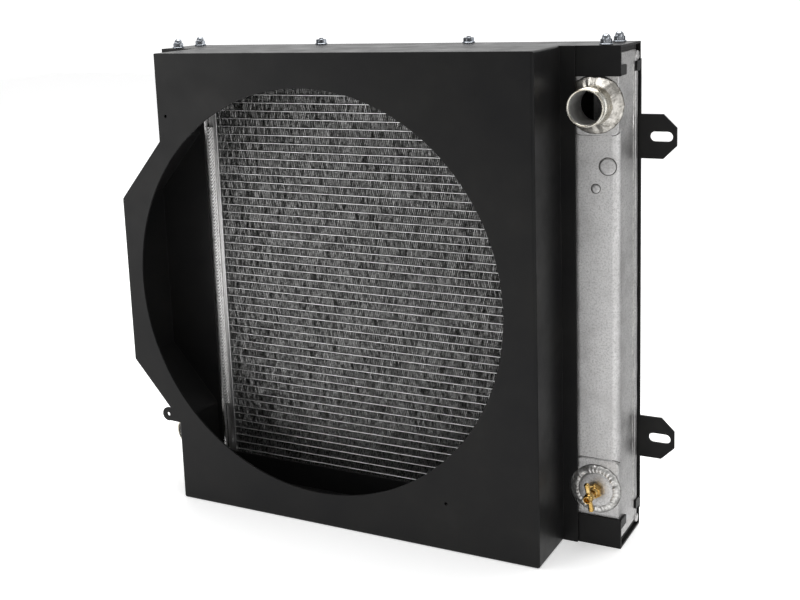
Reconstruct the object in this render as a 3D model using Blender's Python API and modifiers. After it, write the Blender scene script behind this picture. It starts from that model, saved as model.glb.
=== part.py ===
"""Fan-cooled oil cooler: a cross-flow aluminium core between two cast end tanks,
held by an upper and a lower steel channel and two slotted rear rails, with a
box-shaped fan shroud in front and a brass drain cock in the right tank.

Frame: X is the width, Y the depth (the fan side faces -Y), Z is up. The origin is
at the centre of the footprint, on the plane that the shroud and lower channel stand on.
All sizes below are millimetres; MM turns them into metres.
"""
import math

import bmesh
import bpy
from mathutils import Matrix, Vector

MM = 0.001
GAP = 0.3                       # clearance between pieces that touch

# Overall
HEIGHT = 563.0                  # shroud floor to shroud roof
FRAME_WIDTH = 596.0             # length of the two channels
DEPTH = 164.5                   # fan plate to the rear bolt heads
FRONT_Y = -DEPTH / 2            # outer face of the fan plate
MID_Z = HEIGHT / 2

# Fan shroud
SHEET = 2.5
SHROUD_LEFT = -247.0
SHROUD_RIGHT = 232.0
SHROUD_DEPTH = 81.5
BACK_EDGE = -238.5              # where the bulge's back wall ends
BACK_RIM = 1.0                  # rim left round the opening towards the core
SCREW_TAB = (30.0, 20.0)        # width and height of the corner tabs
SHROUD_SCREWS = (-227.0, 210.0)
SCREW_INSET = 11.0              # screw axis to the roof or the floor
FLANGE_RIGHT = 249.0
BULGE_LEFT = -311.5
BULGE_TOP = (458.4, 383.9)      # heights where the upper slope starts and ends
BULGE_BOTTOM = (175.9, 101.2)   # heights where the lower slope starts and ends
FAN_X = -46.7
FAN_RADIUS = 241.3              # a 19 inch opening
EAR_X, EAR_Z, EAR_RADIUS = -263.7, 108.5, 8.8
PLATE_HOLES = ((-235.5, 488.0, 1.9), (121.2, 56.5, 1.9))

# Channels
CHANNEL_SHEET = 2.5
CHANNEL_FRONT = SHROUD_DEPTH + GAP
CHANNEL_BACK = 155.8
UPPER_LIP, LOWER_LIP = 32.6, 34.3
FRONT_TAB, REAR_TAB = 21.5, 14.0
TAB_HEIGHT = 11.0
TAB_SETBACK = 0.6               # tab to the lip's free edge
TAB_CORNER = 2.0

# Core
TUBE_PITCH = 10.0
TUBE_COUNT = 50
TUBE_THICKNESS = 2.0
CORE_MID_Z = 280.5
CORE_HALF = 224.2
CORE_FRONT = 89.5
CORE_BACK = 148.7
FIN_SETBACK = 1.6
SIDE_PLATE = 2.5

# Headers and tanks
HEADER_HALF = 224.5
HEADER_EDGE = 229.3             # outer face of the header plate
HEADER_LIP = 238.9              # end of its narrower neck towards the tank
HEADER_STEP = 3.6               # neck to plate, front and back
HEADER_WALL = 2.5
HEADER_FRONT, HEADER_BACK = 87.4, 150.8
TANK_MOUTH = 239.2
TANK_OUTER = 295.2
TANK_FRONT, TANK_BACK = 86.4, 152.8
TANK_WALL = 4.0
TANK_END = 12.0
TANK_CORNER = 9.0
TANK_BOTTOM = 8.4
TANK_TOP = HEIGHT - TANK_BOTTOM
PAD_RAISE = 1.8
PAD_X = (245.6, 294.9)
PAD_CORNER = 7.0
UPPER_PAD = (467.8, 546.0)
LOWER_PAD = (17.0, 101.4)
BEAD_X, BEAD_WIDTH, BEAD_RAISE = 235.0, 13.0, 2.6
BEAD_LOW, BEAD_HIGH = 99.0, 464.0

ISOLATOR_DEPTHS = (88.0, 151.0)

# Hose necks and drain
PORT_X = 269.5
PORT_Z = 500.5
NECK_RIM_Y = 48.5
NECK_BORE = 17.6
NECK_WALL = 19.1                # 1.5 inch tube
RIM_RADIUS = 20.4
COLLAR_RADIUS = 21.4
WELD_RADIUS = 31.8
WELD_RAISE = 2.4                # low enough to pass under the shroud's flange
DRAIN_X, DRAIN_Z = PORT_X, 67.0
OUTLET_Z = DRAIN_Z
DRAIN_RADIUS = 28.6
WING_HALF = 16.5
WING_RADIUS = 3.0
WING_TILT = math.radians(-10)

# Fasteners (M6)
STUD_RADIUS = 2.9
HOLE_RADIUS = 3.4
HEX_FLATS = 11.0
NUT_FLANGE = 7.5
STUD_X = 279.0
STUD_DEPTHS = (92.3, 139.4)
ROOF_BOLT_X = 99.0
ROOF_BOLT_DEPTH = 143.7

# Rails
RAIL_INNER, RAIL_OUTER = 264.0, 298.0
RAIL_FRONT, RAIL_BACK = 156.1, 159.1
RAIL_LOW, RAIL_HIGH = 19.3, 543.7
EAR_TIP = 338.0
EAR_SHOULDER = 323.0
EAR_HALF, EAR_TIP_HALF = 24.8, 10.0
EAR_HEIGHTS = (108.0, 458.0)
SLOT_X, SLOT_LENGTH, SLOT_WIDTH = 321.0, 25.4, 11.0
RAIL_BOLT_X = (272.0, 288.0)
RAIL_BOLT_Z = (27.5, HEIGHT - 27.5)

FINISHES = {
    "black_powder_coat": ((0.018, 0.018, 0.020), 0.32, 0.0),
    "cast_aluminium": ((0.62, 0.62, 0.63), 0.5, 1.0),
    "wrought_aluminium": ((0.72, 0.72, 0.73), 0.35, 1.0),
    "fin_aluminium": ((0.16, 0.16, 0.17), 0.45, 1.0),
    "weld_aluminium": ((0.68, 0.66, 0.63), 0.4, 1.0),
    "brass": ((0.72, 0.50, 0.20), 0.25, 1.0),
    "zinc_plate": ((0.74, 0.76, 0.80), 0.28, 1.0),
    "black_rubber": ((0.02, 0.02, 0.02), 0.8, 0.0),
}


# --- scene helpers ---------------------------------------------------------------

def clear_scene():
    for obj in list(bpy.data.objects):
        bpy.data.objects.remove(obj, do_unlink=True)


def new_collection(name):
    collection = bpy.data.collections.new(name)
    bpy.context.scene.collection.children.link(collection)
    return collection


def make_finish(name):
    colour, roughness, metallic = FINISHES[name]
    material = bpy.data.materials.new(name)
    material.use_nodes = True
    shader = material.node_tree.nodes["Principled BSDF"]
    shader.inputs["Base Color"].default_value = (*colour, 1.0)
    shader.inputs["Roughness"].default_value = roughness
    shader.inputs["Metallic"].default_value = metallic
    return material


clear_scene()
PARTS = new_collection("fan_cooled_oil_cooler")
CUTTERS = new_collection("cutters")
MATERIALS = {name: make_finish(name) for name in FINISHES}


def from_bmesh(name, bm, collection=None):
    """Turn a bmesh in millimetres into an object in metres."""
    bmesh.ops.scale(bm, vec=(MM, MM, MM), verts=bm.verts)
    bmesh.ops.recalc_face_normals(bm, faces=bm.faces)
    mesh = bpy.data.meshes.new(name)
    bm.to_mesh(mesh)
    bm.free()
    obj = bpy.data.objects.new(name, mesh)
    (collection or CUTTERS).objects.link(obj)
    return obj


def finish_part(obj, finish, smooth_angle=35.0):
    """Move a finished body into the parts collection and give it its material."""
    CUTTERS.objects.unlink(obj)
    PARTS.objects.link(obj)
    obj.data.materials.clear()
    obj.data.materials.append(MATERIALS[finish])
    obj.data.shade_smooth()
    obj.data.set_sharp_from_angle(angle=math.radians(smooth_angle))
    return obj


def combine(target, tools, operation):
    """Join or cut target with each tool; the tools are used up."""
    for tool in tools:
        modifier = target.modifiers.new(operation.lower(), "BOOLEAN")
        modifier.operation = operation
        modifier.solver = "EXACT"
        modifier.object = tool
        mesh = evaluated_mesh(target)
        target.modifiers.clear()
        target.data = mesh
        bpy.data.objects.remove(tool, do_unlink=True)
    return target


def evaluated_mesh(obj):
    bpy.context.view_layer.update()
    graph = bpy.context.evaluated_depsgraph_get()
    mesh = bpy.data.meshes.new_from_object(obj.evaluated_get(graph))
    mesh.name = obj.name
    return mesh


def cut(target, *tools):
    return combine(target, tools, "DIFFERENCE")


def join(target, *tools):
    return combine(target, tools, "UNION")


# --- solids ----------------------------------------------------------------------

def box(name, x, y, z):
    """Block between two X, two depth and two Z values; depth counts from the fan plate."""
    bm = bmesh.new()
    bmesh.ops.create_cube(bm, size=1.0)
    size = Vector((x[1] - x[0], y[1] - y[0], z[1] - z[0]))
    centre = Vector((sum(x) / 2, FRONT_Y + sum(y) / 2, sum(z) / 2))
    bmesh.ops.scale(bm, vec=size, verts=bm.verts)
    bmesh.ops.translate(bm, vec=centre, verts=bm.verts)
    return from_bmesh(name, bm)


def prism(name, outline, low, high, plane):
    """Extrude a closed outline. plane XZ extrudes along the depth, XY along Z, YZ along X."""
    curve = bpy.data.curves.new(name, "CURVE")
    curve.dimensions = "2D"
    curve.fill_mode = "BOTH"
    curve.extrude = (high - low) / 2 * MM
    spline = curve.splines.new("POLY")
    spline.points.add(len(outline) - 1)
    for point, (u, v) in zip(spline.points, outline):
        point.co = (u * MM, v * MM, 0.0, 1.0)
    spline.use_cyclic_u = True
    flat = bpy.data.objects.new(name, curve)
    CUTTERS.objects.link(flat)
    mesh = evaluated_mesh(flat)
    bpy.data.objects.remove(flat, do_unlink=True)
    bm = bmesh.new()
    bm.from_mesh(mesh)
    bmesh.ops.remove_doubles(bm, verts=bm.verts, dist=1e-6)
    bmesh.ops.dissolve_limit(bm, angle_limit=math.radians(0.5), verts=bm.verts, edges=bm.edges)
    middle = (low + high) / 2
    if plane == "XZ":
        turn = Matrix(((1, 0, 0), (0, 0, 1), (0, 1, 0))).to_4x4()
        shift = Vector((0.0, FRONT_Y + middle, 0.0))
    elif plane == "XY":
        turn = Matrix.Identity(4)
        shift = Vector((0.0, FRONT_Y, middle))
    else:
        turn = Matrix(((0, 0, 1), (1, 0, 0), (0, 1, 0))).to_4x4()
        shift = Vector((middle, FRONT_Y, 0.0))
    bmesh.ops.transform(bm, matrix=turn, verts=bm.verts)
    bmesh.ops.translate(bm, vec=shift * MM, verts=bm.verts)
    bmesh.ops.recalc_face_normals(bm, faces=bm.faces)
    bm.to_mesh(mesh)
    bm.free()
    obj = bpy.data.objects.new(name, mesh)
    CUTTERS.objects.link(obj)
    return obj


AXES = {
    "Y": Matrix.Rotation(math.radians(-90), 4, "X"),     # local Z becomes depth
    "X": Matrix.Rotation(math.radians(90), 4, "Y"),
    "Z": Matrix.Identity(4),
}


def cylinder(name, centre, radius, span, axis, sides=32, end_radius=None, phase=0.0):
    """Cylinder or cone along an axis. centre holds the two other coordinates, in X, Y, Z order."""
    bm = bmesh.new()
    bmesh.ops.create_cone(bm, cap_ends=True, segments=sides, radius1=radius,
                          radius2=radius if end_radius is None else end_radius,
                          depth=span[1] - span[0])
    bmesh.ops.rotate(bm, cent=(0, 0, 0), matrix=Matrix.Rotation(phase, 3, "Z"), verts=bm.verts)
    bmesh.ops.transform(bm, matrix=AXES[axis], verts=bm.verts)
    middle = sum(span) / 2
    place = {
        "Y": (centre[0], FRONT_Y + middle, centre[1]),
        "X": (middle, FRONT_Y + centre[0], centre[1]),
        "Z": (centre[0], FRONT_Y + centre[1], middle),
    }[axis]
    bmesh.ops.translate(bm, vec=place, verts=bm.verts)
    return from_bmesh(name, bm)


def hexagon(name, centre, flats, span, axis):
    return cylinder(name, centre, flats / 2 / math.cos(math.pi / 6), span, axis, sides=6)


def turned(name, profile, centre, axis, sides=32):
    """Solid or ring turned about an axis. profile lists (radius, place along the axis).

    A profile that starts on the axis ends on it too; any other one is closed to a ring.
    """
    count = len(profile)
    edges = [(index, index + 1) for index in range(count - 1)]
    if profile[0][0] > 0:
        edges.append((count - 1, 0))
    mesh = bpy.data.meshes.new(name)
    mesh.from_pydata([(radius * MM, 0.0, place * MM) for radius, place in profile], edges, [])
    outline = bpy.data.objects.new(name, mesh)
    CUTTERS.objects.link(outline)
    screw = outline.modifiers.new("turn", "SCREW")
    screw.steps = sides
    screw.render_steps = sides
    screw.use_merge_vertices = True
    screw.merge_threshold = 0.00001
    solid = evaluated_mesh(outline)
    bpy.data.objects.remove(outline, do_unlink=True)
    bm = bmesh.new()
    bm.from_mesh(solid)
    bmesh.ops.transform(bm, matrix=AXES[axis], verts=bm.verts)
    place = {
        "Y": (centre[0], FRONT_Y, centre[1]),
        "Z": (centre[0], FRONT_Y + centre[1], 0.0),
    }[axis]
    bmesh.ops.translate(bm, vec=Vector(place) * MM, verts=bm.verts)
    bmesh.ops.recalc_face_normals(bm, faces=bm.faces)
    bm.to_mesh(solid)
    bm.free()
    obj = bpy.data.objects.new(name, solid)
    CUTTERS.objects.link(obj)
    return obj


def arc(centre, radius, start, end, steps):
    """Points on a circle between two angles in degrees."""
    points = []
    for step in range(steps + 1):
        angle = math.radians(start + (end - start) * step / steps)
        points.append((centre[0] + radius * math.cos(angle), centre[1] + radius * math.sin(angle)))
    return points


def rounded_rectangle(x, z, radius, steps=4):
    low_x, high_x = x
    low_z, high_z = z
    return (arc((high_x - radius, high_z - radius), radius, 0, 90, steps)
            + arc((low_x + radius, high_z - radius), radius, 90, 180, steps)
            + arc((low_x + radius, low_z + radius), radius, 180, 270, steps)
            + arc((high_x - radius, low_z + radius), radius, 270, 360, steps))


def slot_outline(x, z, length, width, steps=8):
    reach = (length - width) / 2
    return (arc((x + reach, z), width / 2, -90, 90, steps)
            + arc((x - reach, z), width / 2, 90, 270, steps))


def mirrored(outline, side):
    return [(side * u, v) for u, v in outline]


# --- fan shroud ------------------------------------------------------------------

def shroud_outline(inset):
    """Front outline of the shroud, moved inwards by the sheet's thickness."""
    slope = math.atan2(BULGE_TOP[0] - BULGE_TOP[1], SHROUD_LEFT - BULGE_LEFT)
    shift = inset * math.tan((math.pi / 2 - slope) / 2)
    left = SHROUD_LEFT + inset
    return [
        (left, inset),
        (SHROUD_RIGHT - inset, inset),
        (SHROUD_RIGHT - inset, HEIGHT - inset),
        (left, HEIGHT - inset),
        (left, BULGE_TOP[0] - shift),
        (BULGE_LEFT + inset, BULGE_TOP[1] - shift),
        (BULGE_LEFT + inset, BULGE_BOTTOM[0] + shift),
        (left, BULGE_BOTTOM[1] + shift),
    ]


def make_shroud():
    shroud = prism("fan_shroud", shroud_outline(0.0), 0.0, SHROUD_DEPTH, "XZ")
    chamber = prism("chamber", shroud_outline(SHEET), SHEET, SHROUD_DEPTH - SHEET, "XZ")
    back_opening = prism("back_opening", back_outline(), SHROUD_DEPTH - 2 * SHEET,
                         SHROUD_DEPTH + 5, "XZ")
    cut(shroud, chamber, back_opening)
    flange = box("flange", (SHROUD_RIGHT - SHEET / 2, FLANGE_RIGHT),
                 (SHROUD_DEPTH - SHEET, SHROUD_DEPTH), (0.0, HEIGHT))
    ear = prism("ear", ear_outline(), 0.0, SHEET, "XZ")
    join(shroud, flange, ear)
    holes = [cylinder("fan_opening", (FAN_X, MID_Z), FAN_RADIUS, (-5, SHEET + 5), "Y", sides=128)]
    holes.append(cylinder("ear_hole", (EAR_X, EAR_Z), 2.6, (-5, SHEET + 5), "Y", sides=16))
    for x, z, radius in PLATE_HOLES:
        holes.append(cylinder("plate_hole", (x, z), radius, (-5, SHEET + 5), "Y", sides=12))
    for x in SHROUD_SCREWS:
        for z in (SCREW_INSET, HEIGHT - SCREW_INSET):
            holes.append(cylinder("screw_hole", (x, z), HOLE_RADIUS,
                                  (SHROUD_DEPTH - 6, SHROUD_DEPTH + 5), "Y", sides=16))
    for z, radius in ((DRAIN_Z, DRAIN_RADIUS), (PORT_Z, COLLAR_RADIUS)):
        holes.append(cylinder("port_relief", (PORT_X, z), radius + 0.9,
                              (SHROUD_DEPTH - 6, SHROUD_DEPTH + 5), "Y", sides=48))
    cut(shroud, *holes)
    finish_part(shroud, "black_powder_coat")


def back_outline():
    """Opening towards the core, with a screw tab left standing in each corner."""
    width, height = SCREW_TAB
    left, right = BACK_EDGE, SHROUD_RIGHT - SHEET - BACK_RIM
    low, high = SHEET + BACK_RIM, HEIGHT - SHEET - BACK_RIM
    return [
        (left + width, low), (right - width, low), (right - width, height),
        (right, height), (right, HEIGHT - height), (right - width, HEIGHT - height),
        (right - width, high), (left + width, high), (left + width, HEIGHT - height),
        (left, HEIGHT - height), (left, height), (left + width, height),
    ]


def ear_outline():
    """Round lug beside the plate's lower left edge."""
    lug = arc((EAR_X, EAR_Z), EAR_RADIUS, 70, 290, 14)
    return lug + [(SHROUD_LEFT + 4, EAR_Z - EAR_RADIUS), (SHROUD_LEFT + 4, EAR_Z + EAR_RADIUS)]


# --- channels and rails ----------------------------------------------------------

def make_channel(name, top):
    """U channel open towards the core, with a retaining tab at each end of both lips."""
    half = FRAME_WIDTH / 2
    lip_end = UPPER_LIP if top else LOWER_LIP

    def heights(low, high):
        return (HEIGHT - high, HEIGHT - low) if top else (low, high)

    channel = box(name, (-half, half), (CHANNEL_FRONT, CHANNEL_BACK), heights(0.0, lip_end))
    inside = box("inside", (-half - 5, half + 5),
                 (CHANNEL_FRONT + CHANNEL_SHEET, CHANNEL_BACK - CHANNEL_SHEET),
                 heights(CHANNEL_SHEET, HEIGHT / 4))
    cut(channel, inside)
    tab_heights = heights(lip_end - TAB_SETBACK - TAB_HEIGHT, lip_end - TAB_SETBACK)
    tabs = []
    for side in (-1, 1):
        x = sorted((side * (half - CHANNEL_SHEET), side * half))
        for depths in ((CHANNEL_FRONT, CHANNEL_FRONT + FRONT_TAB),
                       (CHANNEL_BACK - REAR_TAB, CHANNEL_BACK)):
            outline = rounded_rectangle(depths, tab_heights, TAB_CORNER)
            tabs.append(prism("tab", outline, x[0], x[1], "YZ"))
    join(channel, *tabs)
    cut(channel, *channel_holes(top, heights))
    finish_part(channel, "black_powder_coat")


def channel_holes(top, heights):
    """Drills for the tank studs or pins, the shroud screws, the roof bolts and the rail bolts."""
    holes = []
    for side in (-1, 1):
        if top:
            for depth in STUD_DEPTHS:
                holes.append(cylinder("stud_hole", (side * STUD_X, depth), HOLE_RADIUS,
                                      (HEIGHT - 20, HEIGHT + 5), "Z", sides=16))
            holes.append(cylinder("bolt_hole", (side * ROOF_BOLT_X, ROOF_BOLT_DEPTH), HOLE_RADIUS,
                                  (HEIGHT - 10, HEIGHT + 5), "Z", sides=16))
        else:
            holes.append(cylinder("pin_hole", (side * PORT_X, sum(STUD_DEPTHS) / 2), 6.4,
                                  (-5, 12), "Z", sides=16))
        for x in RAIL_BOLT_X:
            z = RAIL_BOLT_Z[1] if top else RAIL_BOLT_Z[0]
            holes.append(cylinder("rail_hole", (side * x, z), HOLE_RADIUS,
                                  (CHANNEL_BACK - 8, CHANNEL_BACK + 5), "Y", sides=16))
    for x in SHROUD_SCREWS:
        holes.append(cylinder("screw_hole", (x, sum(heights(SCREW_INSET, SCREW_INSET)) / 2),
                              HOLE_RADIUS, (CHANNEL_FRONT - 3, CHANNEL_FRONT + 5), "Y", sides=16))
    return holes


def make_rail(name, side):
    """Upright strip with two slotted ears for fastening the cooler to a machine."""
    rail = box(name, sorted((side * RAIL_INNER, side * RAIL_OUTER)),
               (RAIL_FRONT, RAIL_BACK), (RAIL_LOW, RAIL_HIGH))
    ears, holes = [], []
    for z in EAR_HEIGHTS:
        outline = [(RAIL_OUTER - 8, z - EAR_HALF), (EAR_SHOULDER, z - EAR_HALF),
                   (EAR_TIP, z - EAR_TIP_HALF), (EAR_TIP, z + EAR_TIP_HALF),
                   (EAR_SHOULDER, z + EAR_HALF), (RAIL_OUTER - 8, z + EAR_HALF)]
        ears.append(prism("ear", mirrored(outline, side), RAIL_FRONT, RAIL_BACK, "XZ"))
        slot = mirrored(slot_outline(SLOT_X, z, SLOT_LENGTH, SLOT_WIDTH), side)
        holes.append(prism("slot", slot, RAIL_FRONT - 5, RAIL_BACK + 5, "XZ"))
    join(rail, *ears)
    for x in RAIL_BOLT_X:
        for z in RAIL_BOLT_Z:
            holes.append(cylinder("rail_hole", (side * x, z), HOLE_RADIUS,
                                  (RAIL_FRONT - 5, RAIL_BACK + 5), "Y", sides=16))
    cut(rail, *holes)
    finish_part(rail, "black_powder_coat")


# --- core ------------------------------------------------------------------------

def make_core():
    """Stack of flat tubes with the finned rows between them a little set back."""
    low = CORE_MID_Z - TUBE_PITCH * TUBE_COUNT / 2
    front, back = [], []
    half = TUBE_THICKNESS / 2
    for index in range(TUBE_COUNT):
        z = low + TUBE_PITCH * (index + 0.5)
        front += [(CORE_FRONT + FIN_SETBACK, z - half), (CORE_FRONT, z - half),
                  (CORE_FRONT, z + half), (CORE_FRONT + FIN_SETBACK, z + half)]
        back += [(CORE_BACK - FIN_SETBACK, z - half), (CORE_BACK, z - half),
                 (CORE_BACK, z + half), (CORE_BACK - FIN_SETBACK, z + half)]
    high = low + TUBE_PITCH * TUBE_COUNT
    outline = ([(CORE_FRONT + FIN_SETBACK, low)] + front + [(CORE_FRONT + FIN_SETBACK, high)]
               + [(CORE_BACK - FIN_SETBACK, high)] + back[::-1] + [(CORE_BACK - FIN_SETBACK, low)])
    core = prism("core_tubes_and_fins", outline, -CORE_HALF, CORE_HALF, "YZ")
    finish_part(core, "fin_aluminium")
    for name, z in (("core_side_plate_lower", (low - GAP - SIDE_PLATE, low - GAP)),
                    ("core_side_plate_upper", (high + GAP, high + GAP + SIDE_PLATE))):
        strip = box(name, (-CORE_HALF, CORE_HALF), (CORE_FRONT, CORE_BACK), z)
        finish_part(strip, "wrought_aluminium")


def make_header(name, side):
    """Plate that the tubes end in, with a narrower neck that meets the tank's mouth."""
    low, high = TANK_BOTTOM + TANK_END / 2, TANK_TOP - TANK_END / 2
    front, back = HEADER_FRONT + HEADER_STEP, HEADER_BACK - HEADER_STEP
    header = box(name, sorted((side * HEADER_HALF, side * HEADER_EDGE)),
                 (HEADER_FRONT, HEADER_BACK), (low, high))
    neck = box("neck", sorted((side * (HEADER_HALF + 1), side * HEADER_LIP)), (front, back),
               (low + 1, high - 1))
    hollow = box("hollow", sorted((side * (HEADER_HALF + HEADER_WALL), side * (HEADER_LIP + 5))),
                 (front + HEADER_WALL, back - HEADER_WALL), (low - 5, high + 5))
    join(header, neck)
    cut(header, hollow)
    finish_part(header, "wrought_aluminium")


def make_tank(name, side, has_drain):
    """Cast box tank, open towards the header, with raised pads under its ports."""
    corner = TANK_CORNER
    outline = ([(TANK_MOUTH, TANK_FRONT)]
               + arc((TANK_OUTER - corner, TANK_FRONT + corner), corner, -90, 0, 5)
               + arc((TANK_OUTER - corner, TANK_BACK - corner), corner, 0, 90, 5)
               + [(TANK_MOUTH, TANK_BACK)])
    tank = prism(name, mirrored(outline, side), TANK_BOTTOM, TANK_TOP, "XY")
    pads = []
    for z in (UPPER_PAD, LOWER_PAD):
        pad = rounded_rectangle(PAD_X, z, PAD_CORNER)
        pads.append(prism("pad", mirrored(pad, side), TANK_FRONT - PAD_RAISE,
                          TANK_FRONT + TANK_CORNER, "XZ"))
    join(tank, *pads)
    pin = cylinder("pin", (side * PORT_X, sum(STUD_DEPTHS) / 2), 6.0,
                   (0.5, TANK_BOTTOM + 3.0), "Z", sides=24)
    join(tank, pin)
    hollow = box("hollow", sorted((side * (TANK_MOUTH - 5), side * (TANK_OUTER - TANK_WALL))),
                 (TANK_FRONT + TANK_WALL, TANK_BACK - TANK_WALL),
                 (TANK_BOTTOM + TANK_END, TANK_TOP - TANK_END))
    cut(tank, hollow)
    holes = []
    for z, radius in port_holes(has_drain):
        holes.append(cylinder("port", (side * PORT_X, z), radius,
                              (TANK_FRONT - 10, TANK_FRONT + TANK_WALL + 5), "Y", sides=32))
    for depth in STUD_DEPTHS:
        holes.append(cylinder("stud_hole", (side * STUD_X, depth), HOLE_RADIUS,
                              (TANK_TOP - 9, TANK_TOP + 5), "Z", sides=16))
    cut(tank, *holes)
    finish_part(tank, "cast_aluminium")


def port_holes(has_drain):
    """Heights and radii of the holes in a tank's front: the neck's, and the drain plug's."""
    if has_drain:
        return ((PORT_Z, NECK_BORE), (DRAIN_Z, 7.0))
    return ((OUTLET_Z, NECK_BORE),)


def make_beads():
    """Welds that fill the grooves between headers and tanks, front and back."""
    for side_name, side in (("left", -1), ("right", 1)):
        for face_name, surface, root, outward in (
                ("front", TANK_FRONT - GAP, HEADER_FRONT + HEADER_STEP - GAP, -1),
                ("back", TANK_BACK + GAP, HEADER_BACK - HEADER_STEP + GAP, 1)):
            reach = BEAD_WIDTH / 2
            raised = [(BEAD_X + reach * math.cos(t), surface + outward * BEAD_RAISE * math.sin(t))
                      for t in (math.pi * step / 6 for step in range(7))]
            groove = [(HEADER_EDGE + GAP, surface), (HEADER_EDGE + GAP, root),
                      (HEADER_LIP, root), (HEADER_LIP, surface)]
            bead = prism(f"weld_bead_{side_name}_{face_name}", mirrored(raised + groove, side),
                         BEAD_LOW, BEAD_HIGH, "XY")
            finish_part(bead, "weld_aluminium")


# --- ports -----------------------------------------------------------------------

def weld_clearance(side):
    """Trims a port's weld beside the header's joint and under the upper channel's lip."""
    reach = BEAD_X + BEAD_WIDTH / 2 + GAP
    depths = (TANK_FRONT - 20, TANK_BACK)
    return (box("trim", sorted((side * (reach - 40), side * reach)), depths, (-10, HEIGHT + 10)),
            box("trim", sorted((side * (reach - 50), side * (reach + 70))), depths,
                (HEIGHT - UPPER_LIP - GAP, HEIGHT + 10)))


def make_neck(name, x, z):
    """Beaded hose neck and the weld that holds it to the tank's pad."""
    base = TANK_FRONT - PAD_RAISE - GAP
    rim = NECK_RIM_Y
    profile = [(NECK_BORE, base), (NECK_BORE, rim + 1.0), (NECK_BORE + 1.0, rim),
               (RIM_RADIUS - 0.7, rim), (RIM_RADIUS, rim + 0.8), (RIM_RADIUS, rim + 2.4),
               (NECK_WALL, rim + 4.0), (NECK_WALL, rim + 11.0), (COLLAR_RADIUS - 0.8, rim + 13.0),
               (COLLAR_RADIUS, rim + 17.0), (COLLAR_RADIUS, base)]
    neck = turned(name, profile, (x, z), "Y", sides=40)
    finish_part(neck, "weld_aluminium", 50.0)
    inner = COLLAR_RADIUS + GAP
    ring = [(inner, base), (inner, base - WELD_RAISE), (inner + 2.0, base - WELD_RAISE),
            (WELD_RADIUS - 1.6, base - WELD_RAISE + 0.4), (WELD_RADIUS, base - 0.8),
            (WELD_RADIUS, base)]
    weld = turned(name.replace("neck", "neck_weld"), ring, (x, z), "Y", sides=40)
    cut(weld, *weld_clearance(math.copysign(1, x)))
    finish_part(weld, "weld_aluminium", 50.0)


def make_drain():
    """Drain boss, its weld, and the brass drain cock with its turning wing stem."""
    base = TANK_FRONT - PAD_RAISE - GAP
    face = base - 4.5
    boss = turned("drain_boss", [(7.0, base), (7.0, face), (19.5, face), (20.5, face + 1.0),
                                 (20.5, base)], (DRAIN_X, DRAIN_Z), "Y", sides=32)
    finish_part(boss, "wrought_aluminium")
    inner = 20.5 + GAP
    weld = turned("drain_boss_weld",
                  [(inner, base), (inner, base - 3.4), (inner + 2.0, base - 4.0),
                   (DRAIN_RADIUS - 1.6, base - 2.4), (DRAIN_RADIUS, base - 0.8),
                   (DRAIN_RADIUS, base)], (DRAIN_X, DRAIN_Z), "Y", sides=32)
    cut(weld, *weld_clearance(1))
    finish_part(weld, "weld_aluminium")

    centre = (DRAIN_X, DRAIN_Z)
    body_front = face - 13.0
    body = cylinder("drain_cock_body", centre, 6.6, (face - 2.0, TANK_FRONT + TANK_WALL), "Y", 24)
    collar = hexagon("hex", centre, 15.0, (face - 7.5, face - GAP), "Y")
    barrel = cylinder("barrel", centre, 5.6, (body_front, face - 6.0), "Y", 24)
    join(body, collar, barrel)
    bore = cylinder("bore", centre, 4.3, (body_front - 5, face + 2.0), "Y", 24)
    seat = cylinder("seat", centre, 2.0, (face, TANK_FRONT + 15), "Y", 16)
    cut(body, bore, seat)
    finish_part(body, "brass")

    seal = turned("drain_seal", [(2.6, face + 1.4), (2.6, face - 0.4), (4.0, face - 0.4),
                                 (4.0, face + 1.4)], centre, "Y", sides=24)
    finish_part(seal, "black_rubber")

    tip = 48.5
    knob_back = body_front - 1.0
    stem = cylinder("drain_stem", centre, 2.3, (knob_back - 2.0, face + 1.6), "Y", 20)
    shank = cylinder("shank", centre, 4.0, (knob_back - 2.0, face - 0.8), "Y", 24)
    hub = cylinder("hub", centre, 5.4, (tip + 3.5, knob_back), "Y", 24)
    nose = cylinder("nose", centre, 4.2, (tip, tip + 6.0), "Y", 24)
    wing_depth = (tip + 3.5 + knob_back) / 2
    wing = cylinder("wing", (DRAIN_X, wing_depth), WING_RADIUS,
                    (DRAIN_Z - WING_HALF, DRAIN_Z + WING_HALF), "Z", 16)
    pivot = Vector((DRAIN_X, 0.0, DRAIN_Z)) * MM
    wing.data.transform(Matrix.Translation(pivot) @ Matrix.Rotation(WING_TILT, 4, "Y")
                        @ Matrix.Translation(-pivot))
    join(stem, shank, hub, nose, wing)
    outlet = cylinder("outlet", centre, 2.2, (tip - 5, tip + 5.0), "Y", 16)
    cut(stem, outlet)
    finish_part(stem, "brass")


# --- rubber and fasteners --------------------------------------------------------

def make_isolators():
    """Rubber pads between the tanks and the channels."""
    for side_name, side in (("left", -1), ("right", 1)):
        x = sorted((side * 260.0, side * 294.0))
        middle = sum(STUD_DEPTHS) / 2
        upper = box(f"upper_isolator_{side_name}", x, ISOLATOR_DEPTHS,
                    (TANK_TOP + GAP, HEIGHT - CHANNEL_SHEET - GAP))
        holes = [cylinder("hole", (side * STUD_X, depth), HOLE_RADIUS,
                          (TANK_TOP - 5, HEIGHT + 5), "Z", 16) for depth in STUD_DEPTHS]
        cut(upper, *holes)
        finish_part(upper, "black_rubber")
        lower = box(f"lower_isolator_{side_name}", x, ISOLATOR_DEPTHS,
                    (CHANNEL_SHEET + GAP, TANK_BOTTOM - GAP))
        cut(lower, cylinder("hole", (side * PORT_X, middle), 6.4, (-5, 15), "Z", 16))
        finish_part(lower, "black_rubber")


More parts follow.
